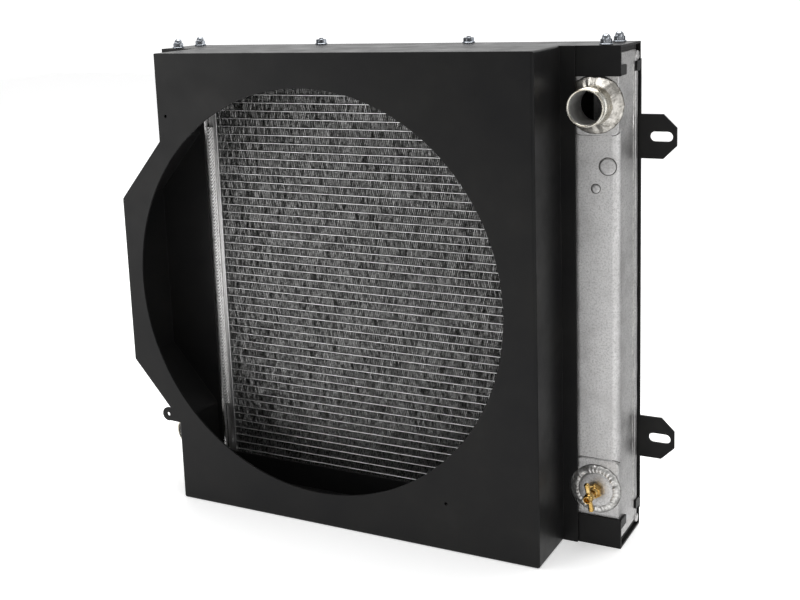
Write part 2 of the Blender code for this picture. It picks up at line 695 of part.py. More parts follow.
def make_dome_nuts():
    """Domed flange nuts on the studs that hold the tanks in the upper channel."""
    for side_name, side in (("left", -1), ("right", 1)):
        for place, depth in zip(("front", "back"), STUD_DEPTHS):
            centre = (side * STUD_X, depth)
            seat = HEIGHT + GAP
            name = f"dome_nut_{side_name}_{place}"
            nut = hexagon(name, centre, HEX_FLATS, (seat + 0.6, seat + 6.2), "Z")
            flange = cylinder("flange", centre, NUT_FLANGE, (seat, seat + 1.6), "Z", 24,
                              end_radius=NUT_FLANGE - 0.8)
            dome = [(4.8, seat + 5.0), (4.8, seat + 6.8), (4.5, seat + 8.0), (3.6, seat + 9.6),
                    (2.0, seat + 10.8), (0.0, seat + 11.2)]
            cap = turned("cap", [(0.0, seat + 5.0)] + dome, centre, "Z", sides=24)
            join(nut, flange, cap)
            cut(nut, cylinder("thread", centre, STUD_RADIUS + GAP, (seat - 5, seat + 7.6), "Z", 16))
            finish_part(nut, "zinc_plate")
            stud = cylinder(f"tank_stud_{side_name}_{place}", centre, STUD_RADIUS,
                            (TANK_TOP - 8.5, seat + 7.2), "Z", 16)
            finish_part(stud, "zinc_plate")


def make_roof_bolts():
    """Bolts and flange nuts in the upper channel's web, near its rear edge."""
    for side_name, side in (("left", -1), ("right", 1)):
        centre = (side * ROOF_BOLT_X, ROOF_BOLT_DEPTH)
        seat = HEIGHT + GAP
        nut = hexagon(f"roof_nut_{side_name}", centre, HEX_FLATS, (seat + 0.6, seat + 6.0), "Z")
        flange = cylinder("flange", centre, NUT_FLANGE, (seat, seat + 1.4), "Z", 24,
                          end_radius=NUT_FLANGE - 0.8)
        join(nut, flange)
        cut(nut, cylinder("thread", centre, STUD_RADIUS + GAP, (seat - 5, seat + 12), "Z", 16))
        finish_part(nut, "zinc_plate")
        under = HEIGHT - CHANNEL_SHEET - GAP
        bolt = hexagon(f"roof_bolt_{side_name}", centre, HEX_FLATS, (under - 4.0, under), "Z")
        shank = cylinder("shank", centre, STUD_RADIUS, (under - 2.0, seat + 7.6), "Z", 16)
        join(bolt, shank)
        finish_part(bolt, "zinc_plate")


def make_shroud_screws():
    """Screws that hold the shroud's corner tabs to the channels' front lips."""
    seat = SHROUD_DEPTH - SHEET - GAP
    for side_name, x in zip(("left", "right"), SHROUD_SCREWS):
        for level, z in (("lower", SCREW_INSET), ("upper", HEIGHT - SCREW_INSET)):
            screw = cylinder(f"shroud_screw_{side_name}_{level}", (x, z), NUT_FLANGE - 1.0,
                             (seat - 1.4, seat), "Y", 20)
            head = hexagon("head", (x, z), 8.0, (seat - 4.0, seat - 0.8), "Y")
            shank = cylinder("shank", (x, z), STUD_RADIUS, (seat - 0.8, HEADER_FRONT - 0.6),
                             "Y", 16)
            join(screw, head, shank)
            finish_part(screw, "zinc_plate")


def make_rail_bolts():
    """Flange bolts that hold the rails to the channels' rear lips."""
    for side_name, side in (("left", -1), ("right", 1)):
        for level, z in zip(("lower", "upper"), RAIL_BOLT_Z):
            for place, x in zip(("inner", "outer"), RAIL_BOLT_X):
                centre = (side * x, z)
                seat = RAIL_BACK + GAP
                name = f"rail_bolt_{side_name}_{level}_{place}"
                bolt = cylinder(name, centre, NUT_FLANGE - 1.0, (seat, seat + 1.5), "Y", 20)
                head = hexagon("head", centre, 8.0, (seat + 1.0, DEPTH), "Y")
                shank = cylinder("shank", centre, STUD_RADIUS, (TANK_BACK + GAP, seat + 1.0),
                                 "Y", 16)
                join(bolt, head, shank)
                finish_part(bolt, "zinc_plate")


def build():
    make_shroud()
    make_channel("upper_channel", top=True)
    make_channel("lower_channel", top=False)
    make_rail("left_rail", -1)
    make_rail("right_rail", 1)
    make_core()
    make_header("left_header", -1)
    make_header("right_header", 1)
    make_tank("left_tank", -1, has_drain=False)
    make_tank("right_tank", 1, has_drain=True)
    make_beads()
    make_neck("inlet_neck", PORT_X, PORT_Z)
    make_neck("outlet_neck", -PORT_X, OUTLET_Z)
    make_drain()
    make_isolators()
    make_dome_nuts()
    make_roof_bolts()
    make_shroud_screws()
    make_rail_bolts()


build()
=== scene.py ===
"""Looks of the fan-cooled oil cooler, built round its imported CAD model.

Sizes in this file are millimetres in the CAD frame (X width, Y depth, Z up); MM turns them
into metres. Places come from the CAD nodes' boxes.
"""
import math

import bmesh
import bpy
import numpy as np
from mathutils import Matrix, Vector


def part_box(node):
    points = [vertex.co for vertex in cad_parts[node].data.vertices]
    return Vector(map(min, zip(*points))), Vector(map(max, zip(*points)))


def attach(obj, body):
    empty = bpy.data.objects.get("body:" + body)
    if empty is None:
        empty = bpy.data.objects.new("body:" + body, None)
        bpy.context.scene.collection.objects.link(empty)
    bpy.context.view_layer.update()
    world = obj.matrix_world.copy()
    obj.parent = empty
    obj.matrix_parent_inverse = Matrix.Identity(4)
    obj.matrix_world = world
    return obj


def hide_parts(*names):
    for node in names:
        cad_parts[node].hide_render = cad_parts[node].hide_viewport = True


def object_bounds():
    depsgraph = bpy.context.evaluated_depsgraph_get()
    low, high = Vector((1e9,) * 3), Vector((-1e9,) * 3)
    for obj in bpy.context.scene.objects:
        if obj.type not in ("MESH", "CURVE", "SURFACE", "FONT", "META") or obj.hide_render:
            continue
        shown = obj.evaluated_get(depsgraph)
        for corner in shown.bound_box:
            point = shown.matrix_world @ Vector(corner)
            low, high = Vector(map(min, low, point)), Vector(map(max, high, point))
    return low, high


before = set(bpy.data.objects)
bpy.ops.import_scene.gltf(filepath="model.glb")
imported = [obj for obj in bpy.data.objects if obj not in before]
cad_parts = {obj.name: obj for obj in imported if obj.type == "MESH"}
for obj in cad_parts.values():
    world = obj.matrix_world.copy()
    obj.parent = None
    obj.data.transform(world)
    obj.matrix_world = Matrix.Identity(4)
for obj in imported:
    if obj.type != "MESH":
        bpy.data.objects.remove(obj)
CAD_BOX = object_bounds()
MM = 0.001

# Core texture
TUBE_PITCH = 10.0
TUBE_THICKNESS = 1.5
FIN_PERIOD = 2.6                # one full zigzag of a folded fin
FIN_SHEET = 0.22
FIN_SETBACK = 0.5

# Sheet steel edges
PLATE_FOLD = 2.5                # outer radius of the shroud's folds
CHANNEL_FOLD = 4.0              # outer radius of the channels' folds
CUT_EDGE = 0.35                 # rounding of a cut edge
WIDE_FACE = 6.0                 # a face at least this wide is a sheet's face, not its cut edge

# Tank castings
PAD_RAISE = 1.8
PAD_X = (245.6, 294.9)
PAD_CORNER = 7.0
TANK_CORNER = 9.0
UPPER_PAD, LOWER_PAD = (467.8, 546.0), (17.0, 101.4)
CASTING_MARKS = ((282.3, 434.0, 9.6), (269.0, 409.5, 5.2))
SEAM_DEPTH = 138.0              # parting seam, behind the fan plate
SEAM_ENDS = (24.0, 16.0)        # tank's lower and upper end to the seam
LUG_HEIGHTS = (("upper", 1, -6.6), ("lower", 0, 9.1))   # tank's end, and how far from it
INSIDE_MARGIN = (2.0, 4.8, 9.0)     # a tank's face this far in from its box is an inner one

# Long welds: the raised part, and the groove between header and tank that they fill
BEAD_X, BEAD_HALF, BEAD_RAISE = 235.5, 4.7, 2.6
GROOVE = (229.7, 238.8)

# Dark sheet of painted shade inside the joint of header and tank
MOUTH_INSET = 6.2               # header plate to the inside of its neck, front and back
SHADE_SHEET_REACH = (233.0, 248.0)    # where it starts in the header and ends in the tank
SHADE_SHEET_END = 8.0                 # tank end to the sheet's end
SHADE_SHEET_THICKNESS = 0.4

HEX_FLATS = 11.0                # roof fasteners, across flats
HEX_CORNERS = 6.35              # radius over their corners

WING_TILT = math.radians(10)    # of the drain cock's wings, top towards -X

# Camera: where it stands (its Y is its distance from the fan plate), and its turn in degrees
CAMERA_PLACE = (675.3, -1166.6, 644.2)
CAMERA_AZIMUTH, CAMERA_ELEVATION, CAMERA_ROLL = 28.8, 10.88, -2.27
CAMERA_LENS = 55.0
CAMERA_SHIFT = (0.0421, -0.1118)

# Studio: the side of the world that is bright, its strengths, and the soft lights
# (name, place, target, size in metres, power in watts)
BRIGHT_SIDE = (-0.1, 1.0, -0.1)
BRIGHT_WORLD, DIM_WORLD = 1.2, 0.32
LIGHTS = (
    ("overhead_light", (-200, 300, 3200), (0, 300, 0), 3.0, 104.0),
    ("left_light", (-1300, -1200, 450), (-150, 0, 280), 0.9, 6.0),
    ("right_light", (1700, -300, 700), (270, 0, 280), 1.0, 3.0),
)
# Dark panel and floor cloth that only reflections see, as corners and faces
FLAG_CORNERS = ((380, 600, 1), (1300, 150, 1), (1300, 150, 900), (380, 600, 900),
                (306, -60, 1), (1300, -400, 1))
FLAG_FACES = [(0, 1, 2, 3), (4, 5, 1, 0)]
FLAG_COLOUR = (0.38, 0.38, 0.38, 1.0)


def limits(node):
    """Lowest and highest corner of a CAD node in millimetres."""
    low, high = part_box(node)
    return np.array(low) / MM, np.array(high) / MM


def middle(node):
    low, high = limits(node)
    return (low + high) / 2


# --- mesh helpers ----------------------------------------------------------------

def add_mesh(name, verts, faces, smooth_angle=35.0):
    """Object from points in millimetres, with outward normals and shaded smooth."""
    mesh = bpy.data.meshes.new(name)
    mesh.from_pydata((np.asarray(verts) * MM).tolist(), [], faces)
    bm = bmesh.new()
    bm.from_mesh(mesh)
    bmesh.ops.recalc_face_normals(bm, faces=bm.faces)
    bm.to_mesh(mesh)
    bm.free()
    mesh.shade_smooth()
    mesh.set_sharp_from_angle(angle=math.radians(smooth_angle))
    obj = bpy.data.objects.new(name, mesh)
    bpy.context.scene.collection.objects.link(obj)
    return obj


def skin_faces(rings, points, wrap, offset=0):
    """Quads between neighbouring rings of points, plus end caps when the row is open."""
    index = np.arange(rings * points).reshape(rings, points) + offset
    along = np.roll(index, -1, axis=0) if wrap else index[1:]
    first = index if wrap else index[:-1]
    quads = np.stack([first, np.roll(first, -1, axis=1), np.roll(along, -1, axis=1), along], axis=-1)
    faces = quads.reshape(-1, 4).tolist()
    if not wrap:
        faces += [index[0, ::-1].tolist(), index[-1].tolist()]
    return faces


def skin(name, rings, wrap=False, smooth_angle=35.0):
    """One closed skin over a row of rings, given as an array (rings, points, 3)."""
    rings = np.asarray(rings, float)
    faces = skin_faces(rings.shape[0], rings.shape[1], wrap)
    return add_mesh(name, rings.reshape(-1, 3), faces, smooth_angle)


def skins(name, stacks, smooth_angle=35.0):
    """Several separate closed skins of the same layout in one object."""
    verts, faces, offset = [], [], 0
    for rings in stacks:
        verts.append(rings.reshape(-1, 3))
        faces += skin_faces(rings.shape[0], rings.shape[1], False, offset)
        offset += rings.shape[0] * rings.shape[1]
    return add_mesh(name, np.concatenate(verts), faces, smooth_angle)


AXES = {
    "Y": (np.array([1.0, 0, 0]), np.array([0, 0, 1.0]), np.array([0, 1.0, 0])),
    "Z": (np.array([1.0, 0, 0]), np.array([0, 1.0, 0]), np.array([0, 0, 1.0])),
    "X": (np.array([0, 1.0, 0]), np.array([0, 0, 1.0]), np.array([1.0, 0, 0])),
}


def turned_rings(profile, centre, axis, sides=64, phase=0.0):
    """Rings of a turned shape. profile lists (radius, place) or (radius, place, flats);
    flats cuts the circle down to a hexagon of that width, which leaves chamfer arcs."""
    angles = np.arange(sides) * 2 * math.pi / sides + phase
    wedge = np.abs((angles - phase) % (math.pi / 3) - math.pi / 6)
    across, up, along = AXES[axis]
    rings = []
    for radius, place, *flats in profile:
        reach = np.full(sides, float(radius))
        if flats:
            reach = np.minimum(reach, flats[0] / 2 / np.cos(math.pi / 6 - wedge))
        rings.append(np.asarray(centre) + np.outer(reach * np.cos(angles), across)
                     + np.outer(reach * np.sin(angles), up) + place * along)
    return np.array(rings)


def turned(name, profile, centre, axis, sides=64, ring=False, smooth_angle=35.0, phase=0.0):
    return skin(name, turned_rings(profile, centre, axis, sides, phase), ring, smooth_angle)


def refined(node, bevel, segments=3, angle=32.0, fold=None):
    """Copy of a CAD node with its flat faces made whole and its edges rounded.

    With fold, the outer edges between wide faces are folds of that radius, and all others
    are cut edges rounded by bevel.
    """
    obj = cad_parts[node].copy()
    obj.data = obj.data.copy()
    obj.name = node + ("_sheet" if fold else "_shell")
    obj.parent = None
    for key in list(obj.keys()):
        del obj[key]
    bpy.context.scene.collection.objects.link(obj)
    bm = bmesh.new()
    bm.from_mesh(obj.data)
    bmesh.ops.remove_doubles(bm, verts=bm.verts, dist=1e-5)
    bmesh.ops.dissolve_limit(bm, angle_limit=math.radians(0.6), verts=bm.verts, edges=bm.edges)
    if fold:
        weigh_folds(bm, bevel / fold, angle)
    bm.to_mesh(obj.data)
    bm.free()
    obj.data.materials.clear()
    rounding = obj.modifiers.new("rounded edges", "BEVEL")
    rounding.width = (fold or bevel) * MM
    rounding.segments = segments
    rounding.limit_method = "WEIGHT" if fold else "ANGLE"
    rounding.angle_limit = math.radians(angle)
    rounding.use_clamp_overlap = not fold
    obj.data.shade_smooth()
    obj.data.set_sharp_from_angle(angle=math.radians(60))
    weights = obj.modifiers.new("flat faces", "WEIGHTED_NORMAL")
    weights.keep_sharp = True
    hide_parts(node)
    return obj


def width_inside(loop):
    """Width of a loop's face, measured straight in from the middle of the loop's edge."""
    start, end = loop.vert.co, loop.link_loop_next.vert.co
    middle_point = (start + end) / 2
    along = (end - start).normalized()
    inward = loop.face.normal.cross(along)
    width = math.inf
    for edge in loop.face.edges:
        first, second = (vert.co - middle_point for vert in edge.verts)
        offset, other_offset = first.dot(along), second.dot(along)
        if edge == loop.edge or offset * other_offset > 0 or offset == other_offset:
            continue
        share = offset / (offset - other_offset)
        reach = first.lerp(second, share).dot(inward)
        if reach > 1e-5:
            width = min(width, reach)
    return width


def weigh_folds(bm, cut_share, angle):
    """Bevel weight 1 on outer edges between two wide faces, and cut_share on other edges."""
    layer = bm.edges.layers.float.new("bevel_weight_edge")
    for edge in bm.edges:
        if len(edge.link_faces) != 2 or edge.calc_face_angle(0.0) < math.radians(angle):
            continue
        wide = min(width_inside(loop) for loop in edge.link_loops) > WIDE_FACE * MM
        edge[layer] = 1.0 if wide and edge.is_convex else cut_share


def dress(obj, material, slot, body="root", *nodes):
    """Give a finished piece its material and its body, and hide the CAD nodes that it stands for."""
    obj.data.materials.clear()
    obj.data.materials.append(material)
    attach(obj, body)
    if nodes:
        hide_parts(*nodes)
    return obj


# --- material helpers ------------------------------------------------------------

class Finish:
    """A node material made from noise in object space; feature sizes are millimetres."""

    def __init__(self, name, metallic, roughness, colour, **constants):
        self.material = bpy.data.materials.new(name)
        self.material.use_nodes = True
        self.tree = self.material.node_tree
        self.shader = self.tree.nodes["Principled BSDF"]
        self.place = self.tree.nodes.new("ShaderNodeTexCoord").outputs["Object"]
        self.shader.inputs["Metallic"].default_value = metallic
        self.shader.inputs["Roughness"].default_value = roughness
        self.shader.inputs["Base Color"].default_value = (*colour, 1.0)
        for socket, value in constants.items():
            self.shader.inputs[socket.replace("_", " ")].default_value = value
        self.normal = None

    def link(self, source, target):
        self.tree.links.new(source, target)

    def noise(self, size, detail=3.0, roughness=0.55, stretch=(1, 1, 1), distortion=0.0):
        mapping = self.tree.nodes.new("ShaderNodeMapping")
        mapping.inputs["Scale"].default_value = stretch
        self.link(self.place, mapping.inputs["Vector"])
        node = self.tree.nodes.new("ShaderNodeTexNoise")
        node.inputs["Scale"].default_value = 1000.0 / size
        node.inputs["Detail"].default_value = detail
        node.inputs["Roughness"].default_value = roughness
        node.inputs["Distortion"].default_value = distortion
        self.link(mapping.outputs["Vector"], node.inputs["Vector"])
        return node.outputs["Fac"]

    def cells(self, size, randomness=1.0):
        node = self.tree.nodes.new("ShaderNodeTexVoronoi")
        node.inputs["Scale"].default_value = 1000.0 / size
        node.inputs["Randomness"].default_value = randomness
        self.link(self.place, node.inputs["Vector"])
        return node.outputs["Distance"]

    def attribute(self, name):
        node = self.tree.nodes.new("ShaderNodeAttribute")
        node.attribute_name = name
        return node.outputs["Fac"]

    def spread(self, value, low, high, start=0.3, end=0.7):
        node = self.tree.nodes.new("ShaderNodeMapRange")
        node.inputs["From Min"].default_value = start
        node.inputs["From Max"].default_value = end
        node.inputs["To Min"].default_value = low
        node.inputs["To Max"].default_value = high
        self.link(value, node.inputs["Value"])
        return node.outputs["Result"]

    def ramp(self, value, *stops):
        node = self.tree.nodes.new("ShaderNodeValToRGB")
        ramp = node.color_ramp
        while len(ramp.elements) < len(stops):
            ramp.elements.new(0.5)
        for element, (place, colour) in zip(ramp.elements, stops):
            element.position = place
            element.color = (*colour, 1.0)
        self.link(value, node.inputs["Fac"])
        return node.outputs["Color"]

    def mix(self, share, first, second):
        node = self.tree.nodes.new("ShaderNodeMix")
        node.data_type = "RGBA"
        self.link(share, node.inputs[0])
        for socket, value in ((node.inputs[6], first), (node.inputs[7], second)):
            if isinstance(value, tuple):
                socket.default_value = (*value, 1.0)
            else:
                self.link(value, socket)
        return node.outputs[2]

    def bump(self, height, depth, strength=1.0):
        node = self.tree.nodes.new("ShaderNodeBump")
        node.inputs["Distance"].default_value = depth * MM
        node.inputs["Strength"].default_value = strength
        self.link(height, node.inputs["Height"])
        if self.normal is not None:
            self.link(self.normal, node.inputs["Normal"])
        self.normal = node.outputs["Normal"]
        self.link(self.normal, self.shader.inputs["Normal"])

    def colour(self, value):
        self.link(value, self.shader.inputs["Base Color"])

    def rough(self, value):
        self.link(value, self.shader.inputs["Roughness"])


def powder_coat():
    """Black satin powder coat: faint orange peel, a few dusty and rubbed patches."""
    f = Finish("black_powder_coat", 0.0, 0.36, (0.01, 0.01, 0.011), IOR=1.22)
    patches = f.noise(90.0, 4.0, 0.6)
    f.colour(f.ramp(patches, (0.35, (0.009, 0.009, 0.0095)), (0.62, (0.0125, 0.0123, 0.012)),
                    (0.8, (0.018, 0.0175, 0.017))))
    f.rough(f.spread(f.noise(35.0, 5.0, 0.6), 0.30, 0.44))
    f.bump(f.noise(1.6, 2.0, 0.5), 0.03, 0.5)
    return f.material


def cast_aluminium():
    """Blasted sand casting: sparkling grain, broad cloudy patches."""
    f = Finish("cast_aluminium", 1.0, 0.5, (0.6, 0.6, 0.6))
    clouds = f.noise(38.0, 5.0, 0.6)
    grain = f.noise(2.0, 3.0, 0.7)
    tone = f.ramp(clouds, (0.3, (0.55, 0.542, 0.538)), (0.5, (0.70, 0.693, 0.69)),
                  (0.75, (0.80, 0.793, 0.785)))
    f.colour(f.mix(f.spread(grain, 0.0, 0.62, 0.46, 0.66), tone, (0.36, 0.355, 0.35)))
    f.rough(f.spread(clouds, 0.42, 0.58))
    f.bump(f.noise(6.0, 3.0, 0.6), 0.22, 0.5)
    f.bump(grain, 0.36, 0.9)
    return f.material


def sheet_aluminium():
    """Mill finish sheet with a drawn direction and slight staining."""
    f = Finish("wrought_aluminium", 1.0, 0.32, (0.72, 0.72, 0.71))
    streaks = f.noise(3.0, 4.0, 0.6, (1, 1, 0.05))
    f.colour(f.ramp(streaks, (0.3, (0.66, 0.655, 0.65)), (0.7, (0.84, 0.835, 0.83))))
    f.rough(f.spread(f.noise(12.0, 4.0, 0.6), 0.4, 0.55))
    f.bump(streaks, 0.05, 0.5)
    return f.material


def tube_aluminium():
    """Brazed tube noses: bright with dull flux marks along their length."""
    f = Finish("tube_aluminium", 1.0, 0.35, (0.66, 0.66, 0.65))
    marks = f.noise(5.0, 4.0, 0.7, (0.35, 1, 1))
    f.colour(f.ramp(marks, (0.3, (0.42, 0.42, 0.42)), (0.5, (0.68, 0.68, 0.675)),
                    (0.75, (0.82, 0.82, 0.815))))
    f.rough(f.spread(marks, 0.5, 0.3))
    f.bump(f.noise(1.2, 3.0, 0.6), 0.06, 0.6)
    return f.material


def fin_aluminium():
    """Thin fin strip, greyed by the brazing furnace; dark streaks from one fold to the next are
    painted light and shade, for folds catching the light differently.
    """
    f = Finish("fin_aluminium", 1.0, 0.45, (0.4, 0.4, 0.4))
    patches = f.noise(45.0, 5.0, 0.65)
    tone = f.ramp(patches, (0.3, (0.58, 0.575, 0.57)), (0.6, (0.72, 0.715, 0.71)),
                  (0.8, (0.82, 0.81, 0.80)))
    painted_fold_shade = f.noise(0.75, 1.0, 0.6, (1, 0.02, 0.12))
    # painted light and shade: a darker grey is mixed in fold by fold
    f.colour(f.mix(f.spread(painted_fold_shade, 0.0, 1.0, 0.36, 0.60), (0.24, 0.238, 0.235), tone))
    f.rough(f.spread(f.noise(4.0, 3.0, 0.6), 0.34, 0.52))
    f.bump(f.noise(0.8, 2.0, 0.5, (1, 0.25, 1)), 0.04, 0.6)
    return f.material


def weld_metal(name, metallic, colours, roughness):
    """Weld metal: random sooty tone, and painted shade in the hollows between ripples and along a
    weld's edge where these are marked, which leaves the ripple tops bright.
    """
    f = Finish(name, metallic, roughness[1], colours[2])
    soot_and_painted_shade = f.noise(7.0, 5.0, 0.7, distortion=0.9)
    tone = f.ramp(soot_and_painted_shade, *zip((0.26, 0.38, 0.6), colours))
    # painted shade: the darkest tone is mixed in between ripples and along a weld's marked edge
    f.colour(f.mix(f.spread(f.attribute("painted_groove_shade"), 0.0, 0.75, 0.35, 1.0), tone, colours[0]))
    f.rough(f.spread(soot_and_painted_shade, *roughness))
    f.bump(f.noise(2.2, 4.0, 0.6), 0.25, 0.8)
    return f.material


def neck_metal():
    """Turned neck: fine tool rings and straw-coloured heat tint."""
    f = Finish("neck_aluminium", 1.0, 0.22, (0.7, 0.67, 0.6))
    tint = f.noise(16.0, 4.0, 0.6)
    f.colour(f.ramp(tint, (0.3, (0.52, 0.47, 0.38)), (0.5, (0.68, 0.65, 0.57)),
                    (0.7, (0.78, 0.77, 0.72))))
    f.rough(f.spread(f.noise(5.0, 4.0, 0.6), 0.16, 0.34))
    f.bump(f.noise(0.7, 2.0, 0.5, (0.02, 1, 0.02)), 0.03, 0.6)
    return f.material


def brass():
    f = Finish("brass", 1.0, 0.2, (0.8, 0.58, 0.24))
    stain = f.noise(5.0, 4.0, 0.65)
    f.colour(f.ramp(stain, (0.3, (0.30, 0.16, 0.04)), (0.5, (0.66, 0.43, 0.14)),
                    (0.75, (0.90, 0.70, 0.34))))
    f.rough(f.spread(f.noise(2.5, 4.0, 0.6), 0.14, 0.32))
    f.bump(f.noise(0.9, 3.0, 0.6), 0.03, 0.6)
    return f.material


def zinc_plate():
    """Bright zinc: bluish, with a faint crystalline mottling."""
    f = Finish("zinc_plate", 1.0, 0.24, (0.74, 0.77, 0.8), Specular_Tint=(0.25, 0.26, 0.28, 1.0))
    mottle = f.cells(1.8)
    f.colour(f.ramp(mottle, (0.1, (0.24, 0.255, 0.28)), (0.6, (0.46, 0.485, 0.52))))
    f.rough(f.spread(f.noise(2.0, 3.0, 0.6), 0.08, 0.22))
    f.bump(f.noise(1.0, 3.0, 0.6), 0.03, 0.5)
    return f.material


def rubber():
    f = Finish("black_rubber", 0.0, 0.75, (0.02, 0.02, 0.02))
    bloom = f.noise(7.0, 4.0, 0.6)
    f.colour(f.ramp(bloom, (0.3, (0.012, 0.012, 0.012)), (0.8, (0.04, 0.039, 0.038))))
    f.bump(f.noise(0.9, 3.0, 0.6), 0.08, 0.7)
    return f.material


def floor_paint():
    """White studio floor with a faint glow of its own, so that its far edge doesn't show."""
    f = Finish("floor_paint", 0.0, 0.6, (0.86, 0.86, 0.86), Emission_Color=(1.0, 1.0, 1.0, 1.0),
               Emission_Strength=0.4)
    f.colour(f.ramp(f.noise(600.0, 3.0), (0.3, (0.85, 0.85, 0.85)), (0.7, (0.88, 0.88, 0.88))))
    return f.material


def inner_casting_shade():
    """Painted shade for the unlit inside of a tank: near-black, mottled, with a sand-cast skin."""
    f = Finish("inner_casting_shade", 0.3, 0.6, (0.03, 0.03, 0.03))
    stain = f.noise(14.0, 4.0, 0.6)
    f.colour(f.ramp(stain, (0.3, (0.015, 0.015, 0.015)), (0.8, (0.05, 0.048, 0.045))))
    f.bump(f.noise(1.5, 3.0, 0.6), 0.2, 0.7)
    return f.material


def joint_shadow():
    """Painted shade: a dark, sooty-looking fillet at the foot of a raised pad or mark."""
    f = Finish("joint_shadow", 0.4, 0.6, (0.09, 0.087, 0.083))
    f.colour(f.ramp(f.noise(4.0, 4.0, 0.6), (0.3, (0.05, 0.048, 0.045)), (0.8, (0.2, 0.195, 0.19))))
    f.bump(f.noise(1.0, 3.0, 0.6), 0.1, 0.6)
    return f.material


def bore_metal():
    """Plain inside of a hose neck: pale and dull, with random oily patches."""
    f = Finish("bore_aluminium", 0.6, 0.5, (0.62, 0.62, 0.6))
    film = f.noise(11.0, 4.0, 0.6)
    f.colour(f.ramp(film, (0.3, (0.42, 0.415, 0.40)), (0.7, (0.66, 0.655, 0.64))))
    f.rough(f.spread(film, 0.42, 0.6))
    f.bump(f.noise(1.2, 2.0, 0.5, (0.05, 1, 0.05)), 0.03, 0.6)
    return f.material


# The first tone of each set is the darkest sooty tone, and is also the painted shade between weld
# ripples and along the ring welds' edges.
RING_TONES = ((0.05, 0.046, 0.04), (0.33, 0.312, 0.28), (0.70, 0.675, 0.63))
DRAIN_TONES = ((0.09, 0.085, 0.08), (0.56, 0.55, 0.53), (0.88, 0.87, 0.85))
BEAD_TONES = ((0.07, 0.068, 0.065), (0.82, 0.81, 0.80), (0.98, 0.975, 0.965))
FINISHES = {
    "coat": powder_coat(), "cast": cast_aluminium(), "sheet": sheet_aluminium(),
    "tube": tube_aluminium(), "fin": fin_aluminium(),
    "ring": weld_metal("neck_weld_aluminium", 1.0, RING_TONES, (0.50, 0.34)),
    "drain": weld_metal("drain_weld_aluminium", 0.9, DRAIN_TONES, (0.50, 0.30)),
    "bead": weld_metal("bead_aluminium", 0.45, BEAD_TONES, (0.45, 0.30)),
    "neck": neck_metal(), "bore": bore_metal(), "brass": brass(), "zinc": zinc_plate(),
    # the inner and joint shadow finishes are painted shade: near-black for the unlit inside of the
    # tanks and the sheets in the header joints, dark at the foot of pads and casting marks
    "rubber": rubber(), "inner": inner_casting_shade(), "soot_and_painted_shade": joint_shadow(),
}


# --- core ------------------------------------------------------------------------

def make_tubes():
    """Flat tubes with round noses, running from header to header."""
    low, high = limits("core_tubes_and_fins")
    radius = TUBE_THICKNESS / 2
    count = round((high[2] - low[2]) / TUBE_PITCH)
    front = [(low[1] + radius - radius * math.cos(a), radius * math.sin(a))
             for a in np.linspace(-math.pi / 2, math.pi / 2, 9)]
    back = [(high[1] - radius + radius * math.cos(a), radius * math.sin(a))
            for a in np.linspace(math.pi / 2, -math.pi / 2, 9)]
    section = np.array(front + back)
    stacks = []
    for index in range(count):
        z = low[2] + TUBE_PITCH * (index + 0.5)
        ends = [np.column_stack([np.full(len(section), x), section[:, 0], section[:, 1] + z])
                for x in (low[0], high[0])]
        stacks.append(np.array(ends))
    tubes = skins("core_tubes", stacks)
    dress(tubes, FINISHES["tube"], "core_aluminium", "root", "core_tubes_and_fins")


def make_fins():
    """Folded fin strips in every gap between tubes; here and there a fold is pushed over."""
    low, high = limits("core_tubes_and_fins")
    count = round((high[2] - low[2]) / TUBE_PITCH)
    front, back = low[1] + FIN_SETBACK, high[1] - FIN_SETBACK
    half_gap = (TUBE_PITCH - TUBE_THICKNESS) / 2
    steps = int((high[0] - low[0] - 2) / (FIN_PERIOD / 2))
    rng = np.random.default_rng(7)
    stacks = []
    for row in range(count + 1):
        z = low[2] + TUBE_PITCH * row
        bottom = half_gap if row else 0.0
        top = half_gap if row < count else 0.0
        if row in (0, count):
            z += 0.15 if row == 0 else -0.15
        shift = rng.uniform(0, FIN_PERIOD)
        x = low[0] + 1 + shift / 4 + np.arange(steps) * FIN_PERIOD / 2
        x = x + rng.normal(0, 0.1, steps)
        lean = np.convolve(rng.normal(0, 1, steps + 20), np.ones(21) / 21, "valid")
        x = x + lean * 0.5
        crest = np.where(np.arange(steps) % 2 == 0, z - bottom, z + top)
        half = FIN_SHEET / 2
        ring = np.empty((steps, 4, 3))
        for corner, (side, y) in enumerate(((-1, front), (-1, back), (1, back), (1, front))):
            ring[:, corner, 0] = x + side * half * 1.2
            ring[:, corner, 1] = y + rng.normal(0, 0.12, steps)
            ring[:, corner, 2] = crest
        stacks.append(ring)
    fins = skins("core_fins", stacks, 20.0)
    dress(fins, FINISHES["fin"], "core_aluminium")


def make_headers():
    for node in ("left_header", "right_header", "core_side_plate_lower", "core_side_plate_upper"):
        dress(refined(node, 0.6), FINISHES["sheet"], "wrought_aluminium")


# --- welds -----------------------------------------------------------------------

def ripple(phase):
    """One weld ripple: a quick rise and a long fall, from 0 to 1."""
    share = phase % 1.0
    return np.where(share < 0.25, share / 0.25, 1.0 - (share - 0.25) / 0.75)


def paint_groove_shade(obj, groove_shading):
    """Store how much painted shade each point gets, from 0 to 1, from how deep it lies between two
    ripples.
    """
    attribute = obj.data.attributes.new("painted_groove_shade", "FLOAT", "POINT")
    attribute.data.foreach_set("value", groove_shading.ravel())


